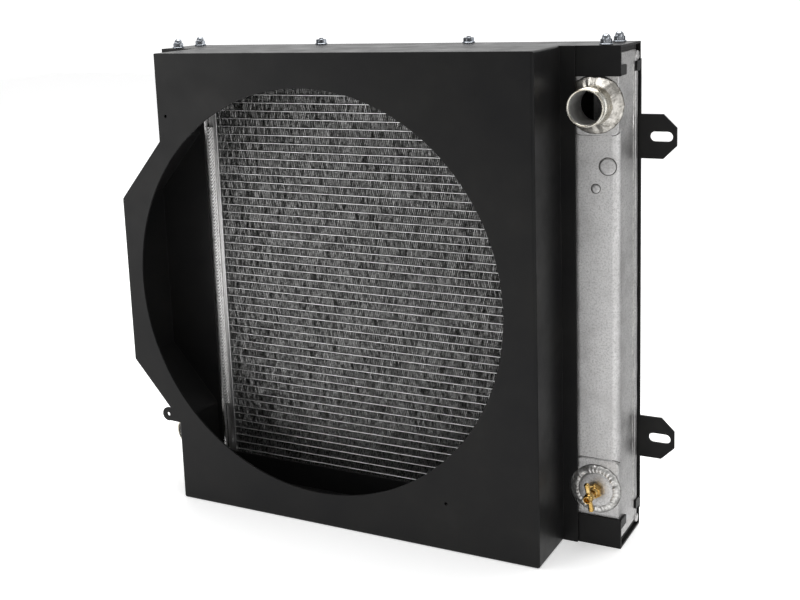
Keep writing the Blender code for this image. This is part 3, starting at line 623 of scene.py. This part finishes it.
def make_long_bead(node, side, outward, seed):
    """Stacked-ripple weld along a header joint. outward is -1 at the front, 1 at the back."""
    low, high = limits(node)
    crest, root = (low[1], high[1]) if outward < 0 else (high[1], low[1])
    surface = crest - outward * BEAD_RAISE
    pitch, per_ripple, across = 4.2, 8, 13
    rows = int((high[2] - low[2]) / pitch * per_ripple)
    rng = np.random.default_rng(seed)
    z = np.linspace(low[2], high[2], rows)
    sway = np.interp(z, np.linspace(low[2], high[2], 40), rng.normal(0, 0.22, 40))
    swell = np.interp(z, np.linspace(low[2], high[2], 60), rng.normal(1.0, 0.07, 60))
    lateral = np.cos(np.linspace(0, math.pi, across))
    rings = np.empty((rows, across + 4, 3))
    groove_shading = np.zeros((rows, across + 4))
    for step, share in enumerate(lateral):
        lump = ripple(z / pitch - 1.2 * abs(share) ** 1.4)
        edge = 1.0 - 0.14 * (1.0 - lump) * abs(share)
        rings[:, step, 0] = BEAD_X + share * BEAD_HALF * edge + sway
        height = BEAD_RAISE * math.sqrt(1 - share ** 2) * (0.45 + 0.55 * lump)
        rings[:, step, 1] = surface + outward * height * np.clip(swell, 0.85, 1.06)
        # painted shade in the hollows between ripples
        groove_shading[:, step] = 1.0 - lump
    for step, (x, depth) in enumerate(((GROOVE[0], surface), (GROOVE[0], root),
                                       (GROOVE[1], root), (GROOVE[1], surface)), across):
        rings[:, step, 0] = x
        rings[:, step, 1] = depth
    rings[:, :, 0] *= side
    rings[:, :, 2] = z[:, None]
    bead = skin(node + "_ripples", rings, smooth_angle=70.0)
    paint_groove_shade(bead, groove_shading)
    dress(bead, FINISHES["bead"], "weld_aluminium", "root", node)


def uneven(rng, mean, spread, angles, samples=37):
    """Smooth random values round a full circle, one for each angle."""
    values = rng.normal(mean, spread, samples)
    values[-1] = values[0]
    return np.interp(angles, np.linspace(0, 2 * math.pi, samples), values)


def make_ring_weld(name, nodes, finish, centre, inner, outer, base, inner_height, outer_height,
                   lumps, seed, keep_low=None, ridge=0.0, depth=0.2, wobble=0.10):
    """Fillet weld round a port, in overlapping ripples. base is the pad's face; the weld
    stands towards the fan side. keep_low gives the X below which it stays flat, and wobble
    is how uneven its height is."""
    per_lump, across = 7, 11
    steps = lumps * per_lump
    angles = np.arange(steps) * 2 * math.pi / steps
    rng = np.random.default_rng(seed)
    swell = uneven(rng, 1.0, wobble, angles)
    reach = uneven(rng, 0.0, 5.0 * wobble, angles)
    shares = np.linspace(0, 1, across)
    rings = np.empty((steps, across + 2, 3))
    groove_shading = np.zeros((steps, across + 2))
    for step, share in enumerate(shares):
        phase = lumps * angles / (2 * math.pi) + 0.8 * (share - 0.4) ** 2 * 2
        lump = ripple(phase)
        radius = inner + (outer - inner) * share + reach * share
        height = inner_height * (1 - share) ** 1.5 + outer_height * np.sqrt(max(0.0, 1 - share ** 3))
        height = height + ridge * math.sin(math.pi * share)
        height = height * swell * (1 - depth + depth * lump)
        x = centre[0] + radius * np.cos(angles)
        if keep_low is not None:
            limit = np.where(x < keep_low, 2.2, 2.2 + (x - keep_low) * 1.5)
            height = np.minimum(height, limit)
        # painted shade in the hollows between ripples, and a dark line along the weld's outer edge
        groove_shading[:, step] = (1.0 - lump) * min(1.0, depth / 0.2) + (share > 0.97)
        rings[:, step, 0] = x
        rings[:, step, 1] = base - np.maximum(height, 0.05)
        rings[:, step, 2] = centre[2] + radius * np.sin(angles)
    for step, radius in ((across, outer + 0.2), (across + 1, inner)):
        rings[:, step, 0] = centre[0] + radius * np.cos(angles)
        rings[:, step, 1] = base
        rings[:, step, 2] = centre[2] + radius * np.sin(angles)
    # painted shade: the weld's two edge rings get the full dark tone
    groove_shading[:, across:] = 1.0
    weld = skin(name, rings, wrap=True, smooth_angle=70.0)
    paint_groove_shade(weld, groove_shading)
    dress(weld, FINISHES[finish], "weld_aluminium", "root", *nodes)


# --- tanks, necks and drain ------------------------------------------------------

def make_tank(node, side):
    tank = refined(node, 1.1, 3, 40.0)
    dress(tank, FINISHES["cast"], "cast_aluminium")
    low, high = limits(node)
    darken_inside(tank, low, high)
    outer = high[0] if side > 0 else low[0]
    face = low[1] + PAD_RAISE
    for level, heights in (("upper", UPPER_PAD), ("lower", LOWER_PAD)):
        make_pad_foot(f"{node}_{level}_pad_foot", abs(outer), side, face, heights)
    if side > 0:
        for index, (x, z, radius) in enumerate(CASTING_MARKS):
            make_casting_mark(f"right_tank_mark_{index}", (x, face, z), radius)
    make_parting_seam(node + "_parting_seam", outer, side, SEAM_DEPTH + CAD_BOX[0].y / MM,
                      (low[2] + SEAM_ENDS[0], high[2] - SEAM_ENDS[1]))
    for name, end, distance in LUG_HEIGHTS:
        make_lug(f"{node}_{name}_lug", side, (low, high), (low, high)[end][2] + distance)
    make_rear_rib(node + "_rear_rib", side, (low, high))
    make_mouth_shade_sheet(node + "_mouth_shade_sheet", side, node, node.replace("tank", "header"))


def darken_inside(tank, low, high):
    """Give the faces inside the tank's walls the near-black inner material, painted shade for the
    unlit inside.
    """
    tank.data.materials.append(FINISHES["inner"])
    margin = np.array(INSIDE_MARGIN)
    for polygon in tank.data.polygons:
        centre = np.array(polygon.center) / MM
        if np.all(centre > low + margin) and np.all(centre < high - margin):
            polygon.material_index = 1


def make_mouth_shade_sheet(name, side, node, header):
    """Thin dark sheet inside the joint of header and tank, so that no light leaks through; its
    near-black colour is painted shade.
    """
    low, high = limits(header)
    tank_low, tank_high = limits(node)
    front, back = low[1] + MOUTH_INSET, high[1] - MOUTH_INSET
    bottom, top = tank_low[2] + SHADE_SHEET_END, tank_high[2] - SHADE_SHEET_END
    start, end = SHADE_SHEET_REACH
    corners = ((front, bottom, 1, 1), (back, bottom, -1, 1),
               (back, top, -1, -1), (front, top, 1, -1))
    rings = [[(side * x, depth + inward * inset, z + upward * inset)
              for x, inset in ((start, 0.0), (end, 0.0), (end, SHADE_SHEET_THICKNESS), (start, SHADE_SHEET_THICKNESS))]
             for depth, z, inward, upward in corners]
    dress(skin(name, rings, wrap=True), FINISHES["inner"], "cast_aluminium")


def pad_outline(heights, steps=8):
    """Edge of a pad but for its outer side, as (X, Z, outward X, outward Z), right tank."""
    points = []
    centre_x = (PAD_X[0] + PAD_CORNER, PAD_X[1] - PAD_CORNER)
    centre_z = (heights[0] + PAD_CORNER, heights[1] - PAD_CORNER)
    for x, z, start in ((centre_x[1], centre_z[1], 0), (centre_x[0], centre_z[1], 90),
                        (centre_x[0], centre_z[0], 180), (centre_x[1], centre_z[0], 270)):
        for step in range(steps + 1):
            angle = math.radians(start + 90 * step / steps)
            outward = (math.cos(angle), math.sin(angle))
            points.append((x + PAD_CORNER * outward[0], z + PAD_CORNER * outward[1], *outward))
    return np.array(points[3:-3])


def make_pad_foot(name, outer, side, face, heights):
    """Thin dark fillet where a raised pad meets the tank's front and its rounded corner: painted shade
    at the pad's foot.
    """
    edge = pad_outline(heights)
    section = ((-0.1, -0.35), (0.25, -0.3), (0.8, -0.12), (1.15, 0.1), (-0.1, 0.1))
    rings = np.empty((len(edge), len(section), 3))
    for step, (reach, rise) in enumerate(section):
        x = edge[:, 0] + reach * edge[:, 2]
        into_corner = np.clip(x - (outer - TANK_CORNER), 0.0, TANK_CORNER - 0.4)
        fall = TANK_CORNER - np.sqrt(TANK_CORNER ** 2 - into_corner ** 2)
        rings[:, step, 0] = side * x
        rings[:, step, 1] = face + rise + fall
        rings[:, step, 2] = edge[:, 1] + reach * edge[:, 3]
    foot = skin(name, rings, smooth_angle=60.0)
    # painted shade along the pad's foot
    dress(foot, FINISHES["soot_and_painted_shade"], "cast_aluminium")


def make_casting_mark(name, centre, radius):
    """Round pin mark in the casting: a low raised button with a dark foot ring of painted shade."""
    button = [(0.3, -0.75), (radius - 2.2, -0.75), (radius - 1.0, -0.6), (radius - 0.5, -0.2),
              (radius - 0.4, 0.3), (0.3, 0.3)]
    dress(turned(name + "_button", button, centre, "Y", 48), FINISHES["cast"], "cast_aluminium")
    foot = [(radius - 0.7, 0.2), (radius - 0.6, -0.35), (radius + 0.1, -0.25), (radius + 0.6, 0.2)]
    ring = turned(name + "_foot", foot, centre, "Y", 48, ring=True, smooth_angle=80.0)
    # painted shade round the button's foot
    dress(ring, FINISHES["soot_and_painted_shade"], "cast_aluminium")


def make_parting_seam(name, outer, side, depth, reach):
    """Low, uneven seam down the tank's outer side."""
    rows, across = 220, 9
    rng = np.random.default_rng(int(abs(outer)))
    z = np.linspace(reach[0], reach[1], rows)
    sway = np.interp(z, np.linspace(*reach, 30), rng.normal(0, 0.7, 30))
    swell = np.interp(z, np.linspace(*reach, 70), np.abs(rng.normal(0.5, 0.3, 70)))
    rings = np.empty((rows, across, 3))
    for step, share in enumerate(np.linspace(-1, 1, across)):
        rings[:, step, 0] = outer + side * (swell * math.sqrt(1 - share ** 2) - 0.1)
        rings[:, step, 1] = depth + sway + share * (1.6 + swell)
        rings[:, step, 2] = z
    seam = skin(name, rings, smooth_angle=80.0)
    dress(seam, FINISHES["drain"], "weld_aluminium")


def make_lug(name, side, tank_limits, z):
    """Rounded locating lug at the tank's rear corner."""
    low, high = tank_limits
    outer = high[0] if side > 0 else low[0]
    profile = [(4.2, -10.0), (5.0, -9.3), (5.0, 1.2), (4.7, 1.9), (4.1, 2.3)]
    rings = turned_rings(profile, (0, 0, 0), "X", 32)
    rings[:, :, 0] = outer + side * rings[:, :, 0]
    rings[:, :, 1] += high[1] - 4.6
    rings[:, :, 2] += z
    lug = skin(name, rings, smooth_angle=50.0)
    dress(lug, FINISHES["cast"], "cast_aluminium")


def make_rear_rib(name, side, tank_limits):
    """Cast rib that squares the tank's rear outer corner, between its two lugs."""
    low, high = tank_limits
    outer = high[0] if side > 0 else low[0]
    section = np.array(((-4.5, -9.0), (-0.3, -9.0), (0.5, -8.2), (0.8, -7.2), (0.8, -2.0),
                        (0.5, -1.0), (-0.3, -0.4), (-4.5, -0.4)))
    z = np.linspace(low[2] + 12.0, high[2] - 9.0, 90)
    wave = np.interp(z, z[::3], np.random.default_rng(31).normal(0, 0.14, 30))
    rings = np.empty((len(z), len(section), 3))
    rings[:, :, 0] = outer + side * (section[:, 0] + wave[:, None])
    rings[:, :, 1] = high[1] + section[:, 1]
    rings[:, :, 2] = z[:, None]
    rib = skin(name, rings, smooth_angle=50.0)
    dress(rib, FINISHES["cast"], "cast_aluminium")


def make_neck(node, weld_node):
    """Beaded hose neck with a thin rim and a stepped base, and the weld round it."""
    low, high = limits(node)
    centre = middle(node)
    rim, base = low[1], high[1]
    bore, wall, bead = 17.6, 19.1, 20.3
    profile = [(bore, base), (bore, rim + 6.0), (bore + 0.1, rim + 1.4), (bore + 0.9, rim + 0.35),
               (bore + 1.7, rim), (bead - 0.6, rim + 0.1), (bead - 0.1, rim + 0.6),
               (bead, rim + 1.5), (bead - 0.2, rim + 2.5), (bead - 0.8, rim + 3.3),
               (wall, rim + 4.0), (wall, rim + 9.4), (wall + 0.3, rim + 9.8), (wall + 1.2, rim + 10.3),
               (wall + 1.5, rim + 10.9), (wall + 1.5, rim + 13.6), (wall + 1.2, rim + 14.2),
               (wall + 0.7, rim + 14.6), (wall + 0.8, rim + 18.0), (wall + 1.5, rim + 22.0),
               (wall + 2.2, rim + 25.0), (wall + 2.3, base)]
    neck = turned(node + "_turned", profile, (centre[0], 0, centre[2]), "Y", 96, ring=True,
                  smooth_angle=50.0)
    dress(neck, FINISHES["neck"], "neck_aluminium", "root", node)
    neck.data.materials.append(FINISHES["bore"])
    for polygon in neck.data.polygons:
        place = np.array(polygon.center) / MM
        from_axis = math.hypot(place[0] - centre[0], place[2] - centre[2])
        if from_axis < bore + 0.3 and place[1] > rim + 1.0:
            polygon.material_index = 1
    inlet = centre[0] > 0
    inner_height, outer_height = (6.6, 2.3) if inlet else (2.0, 0.4)
    make_ring_weld(weld_node + "_ripples", [weld_node], "ring", centre, wall + 2.0, 31.4, base,
                   inner_height, outer_height, 22, 11 if inlet else 12,
                   250.0 if inlet else None, depth=0.08, wobble=0.14)


def make_drain():
    low, high = limits("drain_boss")
    centre = middle("drain_boss")
    face, base = low[1], high[1]
    profile = [(7.1, base), (7.1, face + 0.3), (7.5, face), (12.0, face - 0.25), (18.0, face),
               (19.6, face + 0.5), (20.3, face + 1.4), (20.45, base)]
    boss = turned("drain_boss_turned", profile, (centre[0], 0, centre[2]), "Y", 72, ring=True,
                  smooth_angle=50.0)
    dress(boss, FINISHES["cast"], "wrought_aluminium", "root", "drain_boss")
    make_ring_weld("drain_boss_weld_ripples", ["drain_boss_weld"], "drain", centre, 20.0, 28.3,
                   base, 1.5, 2.5, 34, 21, None, 1.1, 0.13, 0.15)
    make_cock_body(centre, face)
    make_stem(centre)


def make_cock_body(centre, face):
    low, high = limits("drain_cock_body")
    front, back = low[1], high[1]
    shoulder = face - 0.3
    profile = [(2.0, back), (6.4, back), (6.4, shoulder), (7.2, shoulder, 15.0),
               (8.66, shoulder - 0.8, 15.0), (8.66, shoulder - 6.2, 15.0), (7.3, shoulder - 7.2, 15.0),
               (6.0, shoulder - 7.3), (5.6, shoulder - 7.9), (5.6, front + 0.5), (5.1, front),
               (4.4, front), (4.3, front + 0.4), (4.3, face + 1.9), (2.0, face + 1.9)]
    body = turned("drain_cock_body_turned", profile, (centre[0], 0, centre[2]), "Y", 72, ring=True)
    dress(body, FINISHES["brass"], "brass", "root", "drain_cock_body")
    seal_low, seal_high = limits("drain_seal")
    half = (seal_high[1] - seal_low[1]) / 2
    ring = [(3.3 + 0.7 * math.cos(a), seal_low[1] + half + half * math.sin(a))
            for a in np.linspace(0, 2 * math.pi, 16, endpoint=False)]
    seal = turned("drain_seal_ring", ring, (centre[0], 0, centre[2]), "Y", 48, ring=True,
                  smooth_angle=80.0)
    dress(seal, FINISHES["rubber"], "seal_rubber", "drain_seal", "drain_seal")


def make_stem(centre):
    """Turning stem: grooved nose with the outlet in it, and two tapering flat wings."""
    low, high = limits("drain_stem")
    tip, back = low[1], high[1]
    hub_front, hub_back = tip + 4.0, tip + 13.6
    profile = [(0.3, tip + 8.0), (3.0, tip + 7.8), (3.0, tip + 0.5), (3.3, tip), (3.8, tip),
               (4.2, tip + 0.6), (4.2, tip + 1.6), (3.7, tip + 2.1), (3.7, tip + 2.9),
               (4.3, tip + 3.3), (5.0, hub_front), (5.4, hub_front + 0.8), (5.4, hub_back - 0.8),
               (4.9, hub_back), (4.0, hub_back + 0.2), (4.0, back - 3.4), (3.6, back - 2.6),
               (2.3, back - 2.4), (2.3, back - 0.4), (1.9, back), (0.3, back)]
    stem = turned("drain_stem_turned", profile, (centre[0], 0, centre[2]), "Y", 64)
    dress(stem, FINISHES["brass"], "brass", "drain_stem", "drain_stem")
    for name, direction in (("upper", 1), ("lower", -1)):
        make_wing(f"drain_wing_{name}", centre, (hub_front + hub_back) / 2, direction,
                  (high[2] - low[2]) / 2)


def make_wing(name, centre, depth, direction, reach):
    """Wing bar: an oval section, waisted near the hub and rounded at its tip."""
    rings = []
    for share in (0.12, 0.3, 0.45, 0.6, 0.75, 0.88, 0.95, 0.985, 1.0):
        wide = 2.4 + 0.6 * share ** 2
        thick = 2.5 + 0.7 * share ** 2
        if share > 0.85:
            closing = math.sqrt(max(0.0, 1 - ((share - 0.85) / 0.152) ** 2))
            wide, thick = wide * max(closing, 0.12), thick * max(closing, 0.12)
        angles = np.arange(28) * 2 * math.pi / 28
        across = np.sign(np.cos(angles)) * np.abs(np.cos(angles)) ** 0.7 * thick
        along = np.full(28, direction * reach * share)
        rings.append(np.column_stack([
            centre[0] + across * math.cos(WING_TILT) - along * math.sin(WING_TILT),
            depth + np.sign(np.sin(angles)) * np.abs(np.sin(angles)) ** 0.7 * wide,
            centre[2] + across * math.sin(WING_TILT) + along * math.cos(WING_TILT)]))
    wing = skin(name, np.array(rings), smooth_angle=60.0)
    dress(wing, FINISHES["brass"], "brass", "drain_stem")


# --- fasteners and rubber --------------------------------------------------------

def thread_profile(radius, low, high, pitch=1.0):
    """Outside of a thread as a row of rounded ridges, from low to high."""
    points = []
    for turn in range(int((high - low) / pitch)):
        start = low + turn * pitch
        points += [(radius - 0.32, start + 0.1), (radius, start + 0.42), (radius, start + 0.58),
                   (radius - 0.32, start + 0.9)]
    return points


def make_fasteners():
    for side in ("left", "right"):
        for place in ("front", "back"):
            make_dome_nut(f"dome_nut_{side}_{place}")
            make_stud(f"tank_stud_{side}_{place}")
        make_roof_nut(f"roof_nut_{side}")
        make_roof_bolt(f"roof_bolt_{side}")
        for level in ("lower", "upper"):
            screw = refined(f"shroud_screw_{side}_{level}", 0.3, 2)
            dress(screw, FINISHES["zinc"], "zinc_plate")
            for place in ("inner", "outer"):
                make_rail_bolt(f"rail_bolt_{side}_{level}_{place}")
            dress(refined(f"{level}_isolator_{side}", 0.5, 2), FINISHES["rubber"], "black_rubber")


def make_dome_nut(node):
    seat = limits(node)[0][2]
    centre = middle(node)
    profile = [(0.2, seat + 7.4), (3.1, seat + 7.3), (3.1, seat), (7.1, seat), (7.5, seat + 0.3),
               (7.5, seat + 0.8), (7.1, seat + 1.2), (HEX_CORNERS, seat + 1.5, HEX_FLATS),
               (HEX_CORNERS, seat + 5.3, HEX_FLATS), (5.9, seat + 5.8, HEX_FLATS),
               (5.2, seat + 6.1), (4.7, seat + 6.2),
               (4.7, seat + 6.9), (4.6, seat + 7.7), (4.3, seat + 8.7), (3.8, seat + 9.5),
               (3.1, seat + 10.3), (2.1, seat + 10.9), (1.0, seat + 11.15), (0.2, seat + 11.2)]
    nut = turned(node + "_turned", profile, (centre[0], centre[1], 0), "Z", 72)
    dress(nut, FINISHES["zinc"], "zinc_plate", "root", node)


def make_stud(node):
    low, high = limits(node)
    centre = middle(node)
    profile = ([(0.3, low[2]), (2.5, low[2])] + thread_profile(2.9, low[2] + 0.2, high[2] - 0.6)
               + [(2.4, high[2]), (0.3, high[2])])
    stud = turned(node + "_thread", profile, (centre[0], centre[1], 0), "Z", 36)
    dress(stud, FINISHES["zinc"], "zinc_plate", "root", node)


def make_roof_nut(node):
    seat = limits(node)[0][2]
    centre = middle(node)
    profile = [(3.15, seat + 5.7), (3.15, seat), (7.1, seat), (7.5, seat + 0.3), (7.5, seat + 0.7),
               (7.0, seat + 1.2), (HEX_CORNERS, seat + 1.6, HEX_FLATS),
               (HEX_CORNERS, seat + 5.2, HEX_FLATS), (5.9, seat + 5.7, HEX_FLATS),
               (5.2, seat + 6.0), (3.6, seat + 6.0)]
    nut = turned(node + "_turned", profile, (centre[0], centre[1], 0), "Z", 72, ring=True)
    dress(nut, FINISHES["zinc"], "zinc_plate", "root", node)


def make_roof_bolt(node):
    low, high = limits(node)
    centre = middle(node)
    profile = ([(0.3, low[2]), (5.2, low[2]), (5.9, low[2] + 0.4, HEX_FLATS),
                (HEX_CORNERS, low[2] + 0.8, HEX_FLATS), (HEX_CORNERS, low[2] + 4.0, HEX_FLATS),
                (3.0, low[2] + 4.0)]
               + thread_profile(2.9, low[2] + 4.2, high[2] - 0.7) + [(2.3, high[2]), (0.3, high[2])])
    bolt = turned(node + "_turned", profile, (centre[0], centre[1], 0), "Z", 72)
    dress(bolt, FINISHES["zinc"], "zinc_plate", "root", node)


def make_rail_bolt(node):
    low, high = limits(node)
    centre = middle(node)
    back = high[1]
    flange = back - 4.9
    profile = ([(0.3, low[1]), (2.4, low[1])] + thread_profile(2.9, low[1] + 0.3, flange - 0.2)
               + [(2.9, flange), (5.9, flange), (6.1, flange + 0.4), (6.0, flange + 1.0),
                  (4.62, flange + 1.5, 8.0), (4.62, back - 0.5, 8.0), (4.1, back, 8.0), (3.2, back),
                  (2.6, back - 0.35), (0.3, back - 0.35)])
    bolt = turned(node + "_turned", profile, (centre[0], 0, centre[2]), "Y", 72)
    dress(bolt, FINISHES["zinc"], "zinc_plate", "root", node)


def make_steelwork():
    """Powder-coated sheet steel: the shroud, both channels and both rails."""
    shroud = refined("fan_shroud", CUT_EDGE, 4, 30.0, PLATE_FOLD)
    dress(shroud, FINISHES["coat"], "black_powder_coat")
    for node in ("upper_channel", "lower_channel"):
        channel = refined(node, CUT_EDGE, 4, 30.0, CHANNEL_FOLD)
        dress(channel, FINISHES["coat"], "black_powder_coat")
    for node in ("left_rail", "right_rail"):
        dress(refined(node, CUT_EDGE, 3, 30.0), FINISHES["coat"], "black_powder_coat")


# --- stage -----------------------------------------------------------------------

def make_stage():
    """Pale floor, soft light, and the camera."""
    floor = add_mesh("floor", [(-6000, -6000, 0), (6000, -6000, 0), (6000, 6000, 0), (-6000, 6000, 0)],
                     [(0, 1, 2, 3)])
    floor.location.z = CAD_BOX[0].z - 0.0002
    floor.data.materials.append(floor_paint())
    make_world()
    for light in LIGHTS:
        add_light(*light)
    add_flag()

    camera = bpy.data.cameras.new("camera")
    camera.lens = CAMERA_LENS
    camera.shift_x, camera.shift_y = CAMERA_SHIFT
    camera.clip_start, camera.clip_end = 0.05, 50.0
    holder = bpy.data.objects.new("camera", camera)
    bpy.context.scene.collection.objects.link(holder)
    place = Vector(CAMERA_PLACE) * MM
    place.y += CAD_BOX[0].y
    turn = (Matrix.Rotation(math.radians(CAMERA_AZIMUTH), 4, "Z")
            @ Matrix.Rotation(math.radians(90 - CAMERA_ELEVATION), 4, "X")
            @ Matrix.Rotation(math.radians(CAMERA_ROLL), 4, "Z"))
    holder.matrix_world = Matrix.Translation(place) @ turn
    bpy.context.scene.camera = holder
    bpy.context.scene.view_settings.view_transform = "Standard"


def make_world():
    """White studio that is brightest behind the object and dimmer over and before it."""
    world = bpy.data.worlds.new("studio")
    bpy.context.scene.world = world
    world.use_nodes = True
    tree = world.node_tree
    background = tree.nodes["Background"]
    sky = tree.nodes.new("ShaderNodeTexCoord").outputs["Generated"]
    facing = tree.nodes.new("ShaderNodeVectorMath")
    facing.operation = "DOT_PRODUCT"
    facing.inputs[1].default_value = Vector(BRIGHT_SIDE).normalized()
    tree.links.new(sky, facing.inputs[0])
    share = tree.nodes.new("ShaderNodeMapRange")
    share.interpolation_type = "SMOOTHSTEP"
    share.inputs["From Min"].default_value = -0.2
    share.inputs["From Max"].default_value = 0.75
    share.inputs["To Min"].default_value = DIM_WORLD
    share.inputs["To Max"].default_value = BRIGHT_WORLD
    tree.links.new(facing.outputs["Value"], share.inputs["Value"])
    tree.links.new(share.outputs["Result"], background.inputs["Strength"])
    background.inputs["Color"].default_value = (1.0, 1.0, 1.0, 1.0)


def add_light(name, place, target, size, power):
    lamp = bpy.data.lights.new(name, "AREA")
    lamp.shape = "SQUARE"
    lamp.size = size
    lamp.energy = power
    holder = bpy.data.objects.new(name, lamp)
    bpy.context.scene.collection.objects.link(holder)
    aim = (Vector(target) - Vector(place)) * MM
    holder.location = Vector(place) * MM
    holder.rotation_mode = "QUATERNION"
    holder.rotation_quaternion = aim.to_track_quat("-Z", "Y")


def add_flag():
    """Dark panel and floor cloth off to the right, seen only in reflections, for contrast."""
    flag = add_mesh("dark_flag", FLAG_CORNERS, FLAG_FACES)
    material = bpy.data.materials.new("dark_flag")
    material.use_nodes = True
    material.node_tree.nodes["Principled BSDF"].inputs["Base Color"].default_value = FLAG_COLOUR
    flag.data.materials.append(material)
    flag.visible_camera = flag.visible_diffuse = flag.visible_shadow = False


def build():
    make_steelwork()
    make_tubes()
    make_fins()
    make_headers()
    make_tank("left_tank", -1)
    make_tank("right_tank", 1)
    for seed, (name, side, outward) in enumerate((("left_front", -1, -1), ("left_back", -1, 1),
                                                  ("right_front", 1, -1), ("right_back", 1, 1))):
        make_long_bead(f"weld_bead_{name}", side, outward, seed)
    make_neck("inlet_neck", "inlet_neck_weld")
    make_neck("outlet_neck", "outlet_neck_weld")
    make_drain()
    make_fasteners()
    make_stage()


build()
